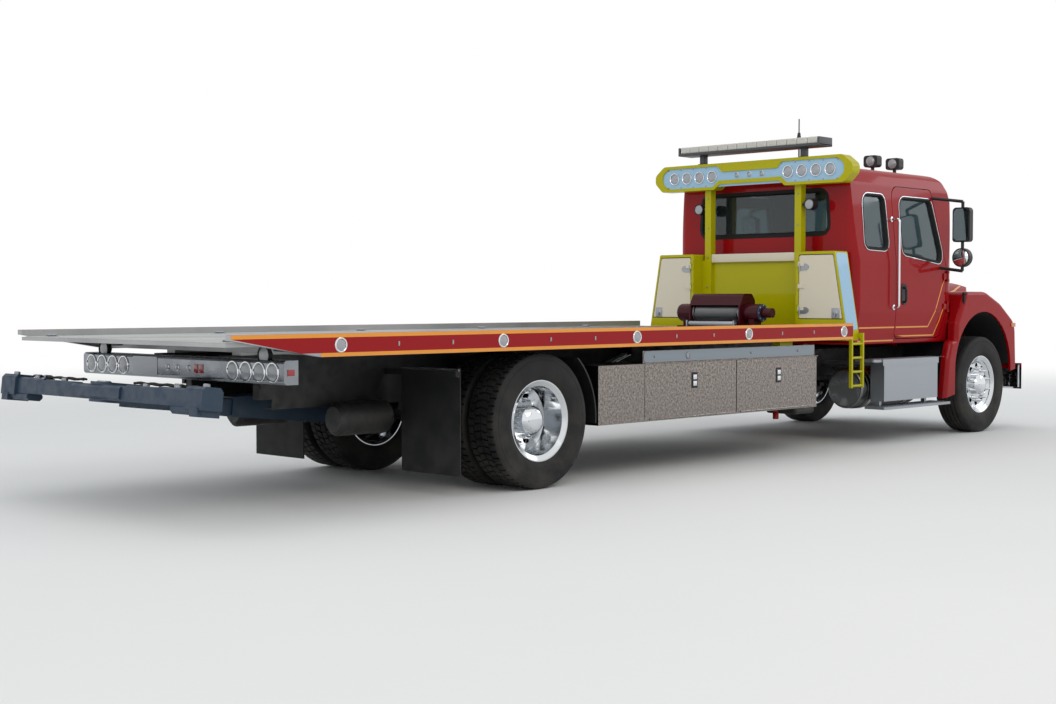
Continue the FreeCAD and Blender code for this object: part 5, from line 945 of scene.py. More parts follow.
build("boxTrim", bothWays(boxTrim), paintedReflectionStainless, "truck")
build("shelfPlate", bothWays(shelfPlate), plateSteel, "truck")
build("shelfHandles", bothWays(shelfHandle), steel, "truck")


# mudflaps

flap = {"inner": 0.574, "outer": 1.184, "far": 3.216, "high": 0.911, "in": 0.004, "drop": 0.062,
        "thick": 0.005,
        "boltIn": 0.045, "boltPitch": 0.104, "boltDrop": 0.033, "boltOut": 0.0048, "bolts": 6,
        "bolt": [(0, 0), (0, 0.009), (0.003, 0.0088), (0.0058, 0.006), (0.0065, 0)]}


def flapStrip(work, sign):    # bright clamp bar along the flap's top
    sideBox(work, sign, (flap["inner"] + flap["in"], flap["far"] - 0.0005, flap["high"] - flap["drop"]),
            (flap["outer"] - flap["in"], flap["far"] + flap["thick"], flap["high"] - flap["in"]), 0.002)


build("flapStrips", bothWays(flapStrip), polishedAluminium, "truck")
flapBolt = knob("flapBolt", flap["bolt"], (0, 1, 0), 14)
for side, sign in sides.items():
    layRow("flapBolts" + side.title(), flapBolt, flap["bolts"],
           (sign * (flap["inner"] + flap["boltIn"]), flap["far"] + flap["boltOut"],
            flap["high"] - flap["boltDrop"]),
           (sign * flap["boltPitch"], 0, 0), steel, "truck")


# tail lamps

tail = {"near": 4.625, "far": 4.737, "z": 0.93, "half": 1.197, "big": (1.082, 0.94, 0.798, 0.656),
        "small": (-0.155, -0.02, 0.1), "sideNear": 0.03, "sideFar": 0.085, "sideTall": 0.02, "out": 0.004,
        "rearAt": (-0.3, -0.24), "rearWide": 0.022, "rearTall": 0.03,
        "bezel": [(0, 0.066), (0.003, 0.066), (0.0075, 0.0625), (0.008, 0.0575), (0.005, 0.054),
                  (0.001, 0.053),
                  (0, 0.053)],
        "dome": [(0.0008, 0.0534), (0.0035, 0.051), (0.0065, 0.038), (0.008, 0.018), (0.0083, 0)],
        "smallBezel": [(0, 0.022), (0.003, 0.0215), (0.004, 0.0185), (0.001, 0.0165), (0, 0.0165)],
        "smallDome": [(0.0008, 0.0168), (0.004, 0.014), (0.0055, 0.007), (0.006, 0)]}


# large round lamps on both sides and small ones between them
def lampPanel(work, at, face, profiles, steps):
    for x in at["big"]:
        for sign in sides.values():
            lathe(work, profiles[0], (sign * x, face, at["z"]), (0, 1, 0), steps)
    for x in at["small"]:
        lathe(work, profiles[1], (x, face, at["z"]), (0, 1, 0), steps // 2)


def lampPanels(word, at, face, body):    # bezels and lenses in place of a panel's plain lamps
    rims, domes = (closedUp(at["bezel"]), closedUp(at["smallBezel"])), (at["dome"], at["smallDome"])
    rings = build(word + "Bezels", lambda work: lampPanel(work, at, face, rims, 40), chromePlate, body)
    build(word + "Lenses", lambda work: lampPanel(work, at, face, domes, 32), clearLens, body)
    return rings


tailBezels = lampPanels("tail", tail, tail["far"], "subframe")
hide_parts("tail_lamps")


def tailReflectors(work):    # one on each end of the panel and two on its rear face
    z = tail["z"]
    for sign in sides.values():
        sideBox(work, sign, (tail["half"], tail["near"] + tail["sideNear"], z - tail["sideTall"]),
                (tail["half"] + tail["out"], tail["near"] + tail["sideFar"], z + tail["sideTall"]), 0.0016)
    for x in tail["rearAt"]:
        softBox(work, (x - tail["rearWide"], tail["far"], z - tail["rearTall"]),
                (x + tail["rearWide"], tail["far"] + tail["out"], z + tail["rearTall"]), 0.0016)


plate = {"low": (0.225, 0.868), "high": (0.535, 0.996), "round": 0.01, "off": 0.0002, "thick": 0.0025}


def platePlace(work):    # bare holder for a number plate
    prism(work, [(x, tail["far"] + plate["off"], z) for x,
                 z in roundPlate(plate["low"], plate["high"], plate["round"])],
          (0, plate["thick"], 0))


build("tailReflectors", tailReflectors, redLens, "subframe")
build("platePlace", platePlace, steel, "subframe")
print("boxes, flaps and tail done")


# headboard, its cabinets and the light pylon

board = {"front": -1.945, "rear": -1.731, "top": 1.845, "low": 1.168, "high": 1.04, "lowZ": 1.1,
         "doorInner": 0.65, "in": 0.014, "panelLow": 1.112, "panelHigh": 1.828, "off": 0.0006,
         "panel": 0.0014}
beam = {"low": (-0.498, -1.8852, 1.766), "high": (0.498, -1.88, 1.846)}
strap = {"heights": (1.29, 1.7), "shape": ((0.004, -0.034, 0.006), (0.085, -0.03, 0.02), (0.118, 0, 0.012),
                                           (0.085, 0.03, 0.02), (0.004, 0.034, 0.006)),
         "off": 0.0002, "thick": 0.0045, "barrelX": 0.007, "barrelY": 0.0065, "screws": (0.034, 0.076),
         "barrel": [(-0.036, 0), (-0.036, 0.0075), (0.036, 0.0075), (0.036, 0)],
         "screw": [(0.004, 0.0055), (0.0062, 0.0045), (0.007, 0)]}
keeper = {"lever": (0.007, 0.011, 0.018, 0.034, 0.015), "z": 1.265, "widthAt": 1.27, "in": 0.085,
          "base": (0.042, 0.005, 0.048),
          "knob": [(0.004, 0.03), (0.0065, 0.029), (0.008, 0.025), (0.008, 0.018), (0.011, 0.016),
                   (0.0125, 0.013), (0.0125, 0)]}


def sideX(z):    # half width of the cabinets at a height
    return board["low"] - max(0,
                              z - board["lowZ"]) * (board["low"] - board["high"]) / (board["top"]
                                                            - board["lowZ"])


def sideStrip(work, sign):    # pale panel down the leaning outer side of each cabinet
    outline = roundPlate((board["front"] + board["in"], board["panelLow"]),
                         (board["rear"] - board["in"], board["panelHigh"]), board["in"], 0.4)
    prism(work, [(sign * (sideX(z) + board["off"]), y, z) for y, z in outline],
          (sign * board["panel"], 0, 0))


def strapHinge(work, sign):    # a long tapered strap, its barrel on the door's inner edge
    x, y = board["doorInner"], board["rear"]
    for z in strap["heights"]:
        outline = roundOutline([(x + a, z + b, r) for a, b, r in strap["shape"]], 0.02)
        prism(work, [(sign * a, y + strap["off"], b) for a, b in outline], (0, strap["thick"], 0))
        lathe(work, strap["barrel"], (sign * (x + strap["barrelX"]), y + strap["barrelY"], z), (0, 0, 1),
              16)
        for a in strap["screws"]:
            lathe(work, strap["screw"], (sign * (x + a), y, z), (0, 1, 0), 10)


def cornerLatch(work, sign):    # compression latch with a turned keeper
    x, y, z = sign * (sideX(keeper["widthAt"]) - keeper["in"]), board["rear"], keeper["z"]
    wide, deep, tall = keeper["base"]
    softBox(work, (x - wide, y, z - tall), (x + wide, y + deep, z + tall), 0.0024, 3)
    lathe(work, keeper["knob"], (x, y, z), (0, 1, 0), 28)
    half, near, far, foot, head = keeper["lever"]
    softBox(work, (x - half, y + near, z - foot), (x + half, y + far, z + head), 0.0025, 3)


build("boardSideStrips", bothWays(sideStrip), paleBlue, "truck", 0)
build("boardBeamCap", lambda work: softBox(work, beam["low"], beam["high"], 0.0015), creamPaint, "truck")
for side, sign in sides.items():
    build("cabinetHinges" + side.title(), lambda work: strapHinge(work, sign), steel, "cabinet_" + side)
    build("cabinetLatch" + side.title(), lambda work: cornerLatch(work, sign), steel, "cabinet_" + side)

postBolts = {"x": 0.537, "y": -1.87, "low": 1.225, "pitch": 0.295, "count": 5,
             "head": [(0, 0), (0, 0.009), (0.006, 0.0088), (0.0072, 0.007), (0.0072, 0)]}
postBolt = knob("postBolt", postBolts["head"], (0, 1, 0), 6, 0)
for side, sign in sides.items():
    layRow("postBolts" + side.title(), postBolt, postBolts["count"],
           (sign * postBolts["x"], postBolts["y"], postBolts["low"]), (0, 0, postBolts["pitch"]), steel,
           "truck")

pylon = {"rounds": (0.05, 0.03), "face": -1.829, "z": 2.618, "lampOff": 0.0012, "plateBack": 0.002,
         "plate": 0.0042, "cornerX": 0.98,
         "endX": 1.085, "cornerZ": 0.102, "endZ": 0.058, "big": (0.453, 0.611, 0.769, 0.927),
         "small": (-0.149, 0, 0.149),
         "bezel": [(0, 0.062), (0.008, 0.062), (0.0125, 0.059), (0.0125, 0.054), (0.008, 0.05),
                   (0.002, 0.049),
                   (0, 0.049)],
         "dome": [(0.0015, 0.0494), (0.005, 0.046), (0.008, 0.034), (0.0095, 0.016), (0.0098, 0)],
         "smallBezel": [(0, 0.026), (0.007, 0.0258), (0.009, 0.023), (0.004, 0.0205), (0, 0.0205)],
         "smallDome": [(0.0012, 0.0208), (0.006, 0.018), (0.0085, 0.009), (0.009, 0)]}
rivets = {"rows": (("Low", 2.53), ("High", 2.706)), "first": 0.374, "pitch": 0.158, "count": 5,
          "out": 0.0021,
          "head": [(0, 0), (0, 0.008), (0.003, 0.007), (0.0045, 0.004), (0.0048, 0)]}


def pylonPlate(work):    # pale face set inside the yellow shell, its four corners cut off
    a, b, c, d = pylon["cornerX"], pylon["endX"], pylon["cornerZ"], pylon["endZ"]
    ends, cuts = pylon["rounds"]
    corners = ((-b, -d, ends), (-a, -c, cuts), (a, -c, cuts), (b, -d, ends),
               (b, d, ends), (a, c, cuts), (-a, c, cuts), (-b, d, ends))
    outline = roundOutline([(x, pylon["z"] + z, r) for x, z, r in corners], 0.4)
    prism(work, [(x, pylon["face"] - pylon["plateBack"], z) for x, z in outline], (0, pylon["plate"], 0))


build("pylonFace", pylonPlate, paleBlue, "truck", 0)
rivet = knob("faceRivet", rivets["head"], (0, 1, 0), 10)
for word, z in rivets["rows"]:
    for side, sign in sides.items():
        layRow("faceRivets%s%s" % (word, side.title()), rivet, rivets["count"],
               (sign * rivets["first"], pylon["face"] + rivets["out"], z), (sign * rivets["pitch"], 0, 0),
               steel,
               "truck")
pylonRings = lampPanels("pylon", pylon, pylon["face"] + pylon["lampOff"], "truck")
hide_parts("pylon_lamps")

bar = {"y": -1.88, "half": 0.84, "low": 2.828, "high": 2.93, "deep": 0.115, "segments": 14,
       "baseLow": 0.012,
       "baseHigh": 0.04, "cap": 0.022, "footX": 0.6, "footTop": 0.02,
       "footPlate": ((0.04, 0.045), 2.7485, 2.756),
       "footStem": ((0.026, 0.034), 2.752), "gap": 0.0018, "ribs": 5, "rib": (0.0035, 0.002),
       "capIn": 0.002, "capDrop": 0.004, "lensIn": 0.008, "lensFoot": 0.038, "lensDrop": 0.002,
       "ribFoot": 0.01,
       "ribDrop": 0.014, "ends": 0.024}
bar["wide"] = (bar["half"] - bar["ends"]) * 2 / bar["segments"]


def barBase(work):    # grey extruded base with end caps and two feet
    y, half, deep, low = (bar[word] for word in ("y", "half", "deep", "low"))
    base = low + bar["baseLow"]
    softBox(work, (-half, y - deep, base), (half, y + deep, low + bar["baseHigh"]), 0.01, 3)
    for sign in sides.values():
        x = sign * bar["footX"]
        sideBox(work, sign, (half, y - deep + bar["capIn"], base),
                (half - bar["cap"], y + deep - bar["capIn"], bar["high"] - bar["capDrop"]), 0.008, 3)
        (wide, long), foot, top = bar["footPlate"]
        softBox(work, (x - wide, y - long, foot), (x + wide, y + long, top), 0.002)
        (wide, long), foot = bar["footStem"]
        softBox(work, (x - wide, y - long, foot), (x + wide, y + long, low + bar["footTop"]), 0.005)


def barSegment(work):    # one clear lens block of the light bar, with ribs moulded across it
    half, deep = bar["wide"] / 2 - bar["gap"], bar["deep"] - bar["lensIn"]
    low, high = bar["low"] + bar["lensFoot"], bar["high"] - bar["lensDrop"]
    softBox(work, (-half, -deep, low), (half, deep, high), 0.011, 4)
    a, b = bar["rib"]
    for n in range(bar["ribs"]):
        x = (n - bar["ribs"] // 2) * bar["wide"] / (bar["ribs"] + 1)
        for y in (-deep, deep):
            softBox(work, (x - a, y - b, low + bar["ribFoot"]), (x + a, y + b, high - bar["ribDrop"]),
                    0.0012, 1)


base = build("beaconBase", barBase, greyPlastic, "truck")
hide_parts("beacon_bar")
layRow("beaconLenses", shape("beaconSegment", barSegment), bar["segments"],
       (-bar["wide"] * (bar["segments"] - 1) / 2, bar["y"], 0), (bar["wide"], 0, 0), beaconLens, "truck")


def postLampBody(work, sign):    # a round lamp on a short arm beside each post
    near, far, front, back, half = postLamp["arm"]
    y, z = postLamp["y"], postLamp["z"]
    lampTurning(work, sign, postLamp, "shell")
    sideBox(work, sign, (near, y - front, z - half), (far, y - back, z + half), 0.004)


build("postLampBodies", bothWays(postLampBody), blackPlastic, "truck")
build("postLampLenses", bothWays(lambda work, sign: lampTurning(work, sign, postLamp, "lens")), clearLens,
      "truck")
print("headboard done")


# cab: gaskets, stripes, bars and mirrors

doorWindow = [(-2.935, 1.85, 0.05), (-2.935, 2.39, 0.09), (-3.535, 2.39, 0.06), (-3.685, 1.88, 0.06),
              (-3.665, 1.77, 0.06)]
quarterWindow = [(-2.25, 1.89, 0.06), (-2.265, 2.395, 0.09), (-2.64, 2.395, 0.06), (-2.66, 1.88, 0.07)]
backWindow = [(-0.755, 2.036, 0.07), (-0.725, 2.431, 0.07), (0.725, 2.431, 0.07), (0.755, 2.036, 0.07)]
windscreen = [(-0.9, 1.71, 0.07), (-0.79, 2.49, 0.11), (0.79, 2.49, 0.11), (0.9, 1.71, 0.07)]
seal = {"lip": 0.003, "inside": -0.014, "outerThick": 0.4, "glassThick": 0.8}
screenSeals = {"backWindowSeal": (backWindow, -1.95, -1, 0.034),
               "windscreenSeal": (windscreen, -4.35, 1, 0.03)}
cab = {"side": 1.15, "sealWide": 0.02, "sealThick": 0.0055, "screenThick": 0.006, "trimOut": 0.023,
       "trim": 0.007,
       "trimThick": 0.0055}


def windowSeal(work, shell, glass, outline, place, way, outer, thick):
    # a rubber lip that covers the edge of an opening and turns in on to its glass
    rows = [dropOn(skin, [place(a, b) for a, b in shift(outline, grow)], way)
            for skin, grow in ((shell, outer), (shell, seal["lip"]), (glass, seal["inside"]))]
    loft(work, [[work.verts.new(p) for p in (a - up * ray["sink"], a + up * thick * seal["outerThick"],
                                             b + lift * thick, c + face * thick * seal["glassThick"],
                                             c - face * ray["sink"])]
                for (a, up), (b, lift), (c, face) in zip(*rows)], closed=True)


shellSkin, glassSkin, hoodSkin = skinOf("cab_shell"), skinOf("cab_glass"), skinOf("hood")
for name, (corners, off, way, outer) in screenSeals.items():
    build(name, lambda work: windowSeal(work, shellSkin, glassSkin, roundOutline(corners, 0.05),
                                        lambda x, z: (x, off, z), (0, way, 0), outer, cab["screenThick"]),
          gasketRubber, "truck")
for side, sign in sides.items():
    shells = {"door": (skinOf("cab_door_" + side), skinOf("door_glass_" + side), doorWindow,
                       "door_" + side),
              "quarter": (shellSkin, glassSkin, quarterWindow, "truck")}
    for word, (shell, glass, corners, body) in shells.items():
        outline, x, inward = roundOutline(corners, 0.04), sign * cab["side"], (-sign, 0, 0)
        build(word + "Seal" + side.title(), lambda work: windowSeal(
            work, shell, glass, outline, lambda y, z: (x, y, z), inward, cab["sealWide"],
            cab["sealThick"]),
            gasketRubber, body)
        trim = [(x, y, z) for y, z in shift(outline, cab["trimOut"])]
        build(word + "Trim" + side.title(), lambda work: layOn(
            shell, trim, inward, cab["trim"], cab["trimThick"], work, True), polishedAluminium, body)


def runLine(points, step=0.06):    # a polyline cut into short, even lengths
    out = []
    for a, b in zip(points, points[1:]):
        a, b = Vector(a), Vector(b)
        bits = max(1, int((b - a).length / step))
        out += [tuple(a + (b - a) * k / bits) for k in range(bits)]
    return out + [tuple(points[-1])]


stripe = {"wide": 0.014, "thick": 0.0006,
          "cab": (((-2.085, 1.12), (-2.79, 1.12)), ((-2.085, 0.992), (-2.79, 0.992))),
          "door": (((-2.822, 1.12), (-3.44, 1.12), (-3.56, 1.27), (-3.735, 1.6)),
                   ((-2.822, 1.032), (-3.56, 1.032), (-3.66, 1.18), (-3.735, 1.34))),
          "hood": ((0.9, -4.06), (0.87, -4.3), (0.8, -4.56)), "above": 1.6}


def sideStripes(work, skin, lines, sign):
    for line in lines:
        layOn(skin, runLine([(sign * cab["side"], y, z) for y, z in line]), (-sign, 0, 0), stripe["wide"],
              stripe["thick"], work)


def hoodStripe(work, sign):    # laid from above, where the hood's side turns in
    line = [(sign * x, y, stripe["above"]) for x, y in stripe["hood"]]
    layOn(hoodSkin, runLine(line, 0.04), (0, 0, -1), stripe["wide"], stripe["thick"], work)


for side, sign in sides.items():
    doorSkin = skinOf("cab_door_" + side)
    build("cabStripes" + side.title(), lambda work: sideStripes(work, shellSkin, stripe["cab"], sign),
          orangeVinyl, "truck", 0)
    build("doorStripes" + side.title(), lambda work: sideStripes(work, doorSkin, stripe["door"], sign),
          orangeVinyl, "door_" + side, 0)
build("hoodStripes", bothWays(hoodStripe), orangeVinyl, "hood", 0)

grab = {"x": 1.12, "y": -2.75, "lowX": 1.055, "low": 1.315, "highX": 1.03, "high": 2.175, "bend": 0.03,
        "radius": 0.013, "feet": ((1.315, 1.0605), (2.175, 1.03)),
        "foot": [(-0.004, 0), (-0.004, 0.028), (0.008, 0.026), (0.011, 0.018), (0.011, 0)]}
handle = {"x": 1.063, "y": -2.94, "z": 1.445, "wide": 0.052, "tall": 0.105, "round": 0.045,
          "cup": ((0.0002, 0), (0.006, -0.002), (0.008, -0.008), (0.003, -0.02)), "bend": 0.018,
          "radius": 0.011,
          "pull": ((0.002, -0.08), (0.03, -0.07), (0.03, 0.055), (0.002, 0.065))}
mirror = {"x": 1.3, "y": -3.635, "half": 0.083, "low": 1.986, "high": 2.306, "corner": 0.03,
          "round": 1.815,
          "off": 0.0005, "thick": 0.0025,
          "bulge": [(-0.0005, 0.083), (0.002, 0.082), (0.008, 0.056), (0.0105, 0.026), (0.011, 0)]}


def grabBar(work, sign):
    x, y = sign * grab["x"], grab["y"]
    tube(work, bend([(sign * grab["lowX"], y, grab["low"]), (x, y, grab["low"]), (x, y, grab["high"]),
                     (sign * grab["highX"], y, grab["high"])], grab["bend"]), grab["radius"], 14)
    for z, foot in grab["feet"]:
        lathe(work, [(sign * (foot + out), r) for out, r in grab["foot"]], (0, y, z), (1, 0, 0), 20)


def doorHandle(work, sign):    # oval cup with a pull across it
    x, y, z = handle["x"], handle["y"], handle["z"]
    outline = roundPlate((y - handle["wide"], z - handle["tall"]),
                         (y + handle["wide"], z + handle["tall"]),
                         handle["round"], 0.02)
    loft(work, [[work.verts.new((sign * (x + out), a, b)) for a, b in shift(outline, grow)]
                for out, grow in handle["cup"]])
    tube(work, bend([(sign * (x + out), y, z + up) for out, up in handle["pull"]], handle["bend"]),
         handle["radius"], 12)


def mirrorFaces(work, sign):    # a tall flat glass over a small round one that bulges
    x, y = sign * mirror["x"], mirror["y"]
    outline = roundPlate((x - mirror["half"], mirror["low"]), (x + mirror["half"], mirror["high"]),
                         mirror["corner"], 0.2)
    prism(work, [(a, y - mirror["off"], b) for a, b in outline], (0, mirror["thick"], 0))
    lathe(work, mirror["bulge"], (x, y, mirror["round"]), (0, 1, 0), 36)


for side, sign in sides.items():
    build("grabBar" + side.title(), lambda work: grabBar(work, sign), chromePlate, "truck")
    build("doorHandle" + side.title(), lambda work: doorHandle(work, sign), blackPlastic, "door_" + side)
for side, sign in sides.items():
    build("mirrorFaces" + side.title(), lambda work: mirrorFaces(work, sign), mirrorGlass, "door_" + side)
print("cab sides done")


# cab roof, nose and steps

frontSkin, bumperSkin = skinOf("cab_shell", "cab_glass"), skinOf("front_bumper")


def hitOf(skin, start, way):    # the first point of a skin that a ray meets
    return skin.ray_cast(Vector(start), Vector(way))[0]


def roofHeight(x, y):
    return hitOf(shellSkin, (x, y, 3.2), (0, 0, -1)).z


def frontHit(x, z):
    return hitOf(frontSkin, (x, -4.9, z), (0, 1, 0))


def bumperHit(x, z):
    return hitOf(bumperSkin, (x, -6.2, z), (0, 1, 0))


roof = {"markerX": (-0.62, -0.31, 0, 0.31, 0.62), "markerY": -3.62, "markerHalf": (0.05, 0.03),
        "sunk": 0.012, "rise": 0.026, "lampX": (-0.5, 0.5), "lampY": (-3.223, -3.653), "lampZ": 2.805,
        "aerialY": -2.68,
        "lens": [(-0.001, 0.05), (0.004, 0.048), (0.008, 0.034), (0.01, 0.016), (0.0104, 0)],
        "foot": [(-0.004, 0), (-0.004, 0.03), (0.01, 0.028), (0.03, 0.012), (0.036, 0.006), (0.036, 0)]}


def roofMarkers(work):    # low lozenge lamps along the roof's front edge
    wide, long = roof["markerHalf"]
    for x in roof["markerX"]:
        y, z = roof["markerY"], roofHeight(x, roof["markerY"])
        softBox(work, (x - wide, y - long, z - roof["sunk"]), (x + wide, y + long, z + roof["rise"]),
                0.012, 4)


def roofLenses(work):
    for x in roof["lampX"]:
        for y in roof["lampY"]:
            lathe(work, roof["lens"], (x, y, roof["lampZ"]), (0, 1, 0), 28)


def aerialFoot(work):
    z = roofHeight(0, roof["aerialY"])
    lathe(work, [(z + a, r) for a, r in roof["foot"]], (0, roof["aerialY"], 0), (0, 0, 1), 24)


wiper = {"near": 0.1, "reach": 0.6, "low": 1.745, "rise": 0.04, "steps": 8, "off": -0.016, "rootX": 0.34,
         "rootZ": 1.69, "blade": 0.006, "arm": 0.008, "rootOff": (0, -0.002, 0), "elbow": (0, -0.03, 0.01),
         "grip": (0, -0.008, 0), "bend": 0.01,
         "boss": [(-0.03, 0), (-0.03, 0.016), (0.004, 0.018), (0.004, 0)]}


def wiperBlade(work, sign):    # a blade laid along the glass and the arm that carries it
    shares = [k / wiper["steps"] for k in range(wiper["steps"] + 1)]
    path = [frontHit(sign * (wiper["near"] + wiper["reach"] * share),
                     wiper["low"] + wiper["rise"] * share) +
            Vector((0, wiper["off"], 0)) for share in shares]
    tube(work, path, wiper["blade"], 8)
    root = frontHit(sign * wiper["rootX"], wiper["rootZ"]) + Vector(wiper["rootOff"])
    arm = [root, root + Vector(wiper["elbow"]), path[len(path) // 2] + Vector(wiper["grip"])]
    tube(work, bend(arm, wiper["bend"]), wiper["arm"], 8)
    lathe(work, wiper["boss"], root, (0, 1, 0), 14)


def hoodSide(sign, y, z):
    return abs(hitOf(hoodSkin, (sign * 1.4, y, z), (-sign, 0, 0)).x)


hoodCatch = {"y": -3.97, "z": 1.4, "in": 0.002, "strap": (0.016, 0.02, 1.34, 1.455),
             "grip": (0.022, 0.028, 1.44, 1.468)}
fenderMark = {"y": -5.03, "z": 1.12, "in": 0.004, "out": 0.01, "long": 0.045, "tall": 0.022}


def hoodLatch(work, sign):    # pull-down rubber latch, its grip wider than its strap
    x, y = hoodSide(sign, hoodCatch["y"], hoodCatch["z"]), hoodCatch["y"]
    for out, half, low, high in (hoodCatch["strap"], hoodCatch["grip"]):
        sideBox(work, sign, (x - hoodCatch["in"], y - half, low), (x + out, y + half, high), 0.006, 3)


def fenderMarker(work, sign):
    y, z, long, tall = (fenderMark[word] for word in ("y", "z", "long", "tall"))
    x = hoodSide(sign, y, z)
    sideBox(work, sign, (x - fenderMark["in"], y - long, z - tall),
            (x + fenderMark["out"], y + long, z + tall),
            0.006, 3)


headlamp = {"y": -5.1415, "z": 0.993, "bowls": ((0.8, 0.056), (0.93, 0.062)), "turnX": 1.022,
            "turnHalf": (0.018, 0.05), "turnY": (-5.147, -5.14), "turnZ": 0.995,
            "ring": [(0, 0), (-0.004, 0), (-0.0055, 0.006), (-0.001, 0.014)],
            "bulb": [(-0.0006, 0.01), (-0.004, 0.006), (-0.0045, 0)]}


def headlampBowls(work, sign):    # two reflector rings behind each headlamp's lens
    for x, r in headlamp["bowls"]:
        profile = [(out, r - inward) for out, inward in headlamp["ring"]] + headlamp["bulb"]
        lathe(work, profile, (sign * x, headlamp["y"], headlamp["z"]), (0, 1, 0), 32)


def turnLamp(work, sign):
    (wide, tall), (front, back) = headlamp["turnHalf"], headlamp["turnY"]
    x, z = headlamp["turnX"], headlamp["turnZ"]
    sideBox(work, sign, (x - wide, front, z - tall), (x + wide, back, z + tall), 0.003, 3)


fog = {"x": 0.7, "z": 0.56, "in": 0.006, "boltX": (0.33, 0.385), "boltZ": 0.5, "boltIn": 0.004,
       "rim": [(0.004, 0.058), (-0.004, 0.058), (-0.008, 0.054), (-0.006, 0.047), (0.004, 0.046)],
       "bolt": [(0.004, 0.014), (-0.003, 0.0135), (-0.006, 0.008), (-0.006, 0)],
       "lens": [(0.006, 0.0465), (-0.002, 0.044), (-0.006, 0.026), (-0.007, 0)]}


def inBumper(work, sign, x, z, sunk, profile, steps):    # a turned thing let into the bumper's face
    lathe(work, profile, bumperHit(sign * x, z) + Vector((0, sunk, 0)), (0, 1, 0), steps)


def fogRims(work, sign):    # the fog lamp's rim and the two bolt heads beside it
    inBumper(work, sign, fog["x"], fog["z"], fog["in"], closedUp(fog["rim"]), 32)
    for x in fog["boltX"]:
        inBumper(work, sign, x, fog["boltZ"], fog["boltIn"], fog["bolt"], 14)


screenMesh = {"front": -5.285, "thick": 0.004, "pitch": 0.03, "half": 0.002, "uprights": 27,
              "left": -0.39, "low": 0.88,
        "high": 1.16, "rows": 10, "first": 0.885, "reach": 0.4}


def radiatorMesh(work):    # woven screen behind the grille bars: uprights, and crosswires behind them
    front, back, half = screenMesh["front"], screenMesh["front"] + screenMesh["thick"], screenMesh["half"]
    for n in range(screenMesh["uprights"]):
        x = screenMesh["left"] + screenMesh["pitch"] * n
        softBox(work, (x - half, front, screenMesh["low"]), (x + half, back, screenMesh["high"]), 0.0008,
                1)
    for n in range(screenMesh["rows"]):
        z = screenMesh["first"] + screenMesh["pitch"] * n
        softBox(work, (-screenMesh["reach"], back, z - half),
                (screenMesh["reach"], back + screenMesh["thick"], z + half), 0.0008, 1)


build("roofMarkers", roofMarkers, amberLens, "truck")
build("roofLenses", roofLenses, clearLens, "truck")
build("aerialFoot", aerialFoot, blackPlastic, "truck")
build("wipers", bothWays(wiperBlade), blackPlastic, "truck")
build("hoodLatches", bothWays(hoodLatch), gasketRubber, "hood")
build("fenderMarkers", bothWays(fenderMarker), amberLens, "hood")
build("headlampBowls", bothWays(headlampBowls), chromePlate, "hood")
build("turnLamps", bothWays(turnLamp), amberLens, "hood")
build("fogLampRims", bothWays(fogRims), blackPlastic, "truck")
build("fogLampLenses",
      bothWays(lambda work, sign: inBumper(work, sign, fog["x"], fog["z"], fog["in"], fog["lens"],
                                                            28)), clearLens, "truck")
build("radiatorMesh", radiatorMesh, steel, "hood")

grip = {"treads": (("Low", 0.362), ("High", 0.816)), "rows": 4, "count": 25, "x": 1.02, "y": -3.575,
        "pitch": 0.048, "stagger": 0.024,
        "dimple": [(0, 0.0085), (0.0022, 0.007), (0.0022, 0.0045), (0.0004, 0.0035), (0.0004, 0)]}
dimple = knob("stepDimple", grip["dimple"], (0, 0, 1), 12)
for side, sign in sides.items():
    for word, z in grip["treads"]:
        for row in range(grip["rows"]):
            start = (sign * (grip["x"] + grip["pitch"] * row), grip["y"] + grip["stagger"] * (row % 2), z)
            layRow("stepGrip%s%d%s" % (word, row, side.title()), dimple, grip["count"], start,
                   (0, grip["pitch"], 0), steel, "truck")
print("cab front done")


# wheel wells, lift and underside

well = {"y": -4.38, "z": 0.66, "radius": 0.6, "inner": 0.56, "outer": 1.15, "start": 4, "sweep": 172,
        "steps": 32,
        "thin": 0.992, "panelAbove": 0.8, "panel": 0.004}


def wellLiner(work, sign):    # moulded arch with a flat panel on its inner side
    inner, outer = sign * well["inner"], sign * well["outer"]
    turns = [math.radians(well["start"] + well["sweep"] * n / well["steps"])
             for n in range(well["steps"] + 1)]
    arc, thin = ([(well["y"] + r * math.cos(turn), well["z"] + r * math.sin(turn)) for turn in turns]
                 for r in (well["radius"], well["radius"] * well["thin"]))
    rows = [[work.verts.new((x, y, z)) for y, z in line]
            for x, line in ((inner, arc), (outer, arc), (outer, thin), (inner, thin))]
    for near, far in zip(rows, rows[1:] + rows[:1]):
        for n in range(len(arc) - 1):
            work.faces.new([near[n], near[n + 1], far[n + 1], far[n]])
    for n in (0, -1):
        work.faces.new([row[n] for row in rows])
    prism(work, [(inner, y, z) for y, z in arc if z > well["panelAbove"]], (sign * well["panel"], 0, 0))


for side, sign in sides.items():
    build("wellLiner" + side.title(), lambda work: wellLiner(work, sign), flapRubber, "hood")

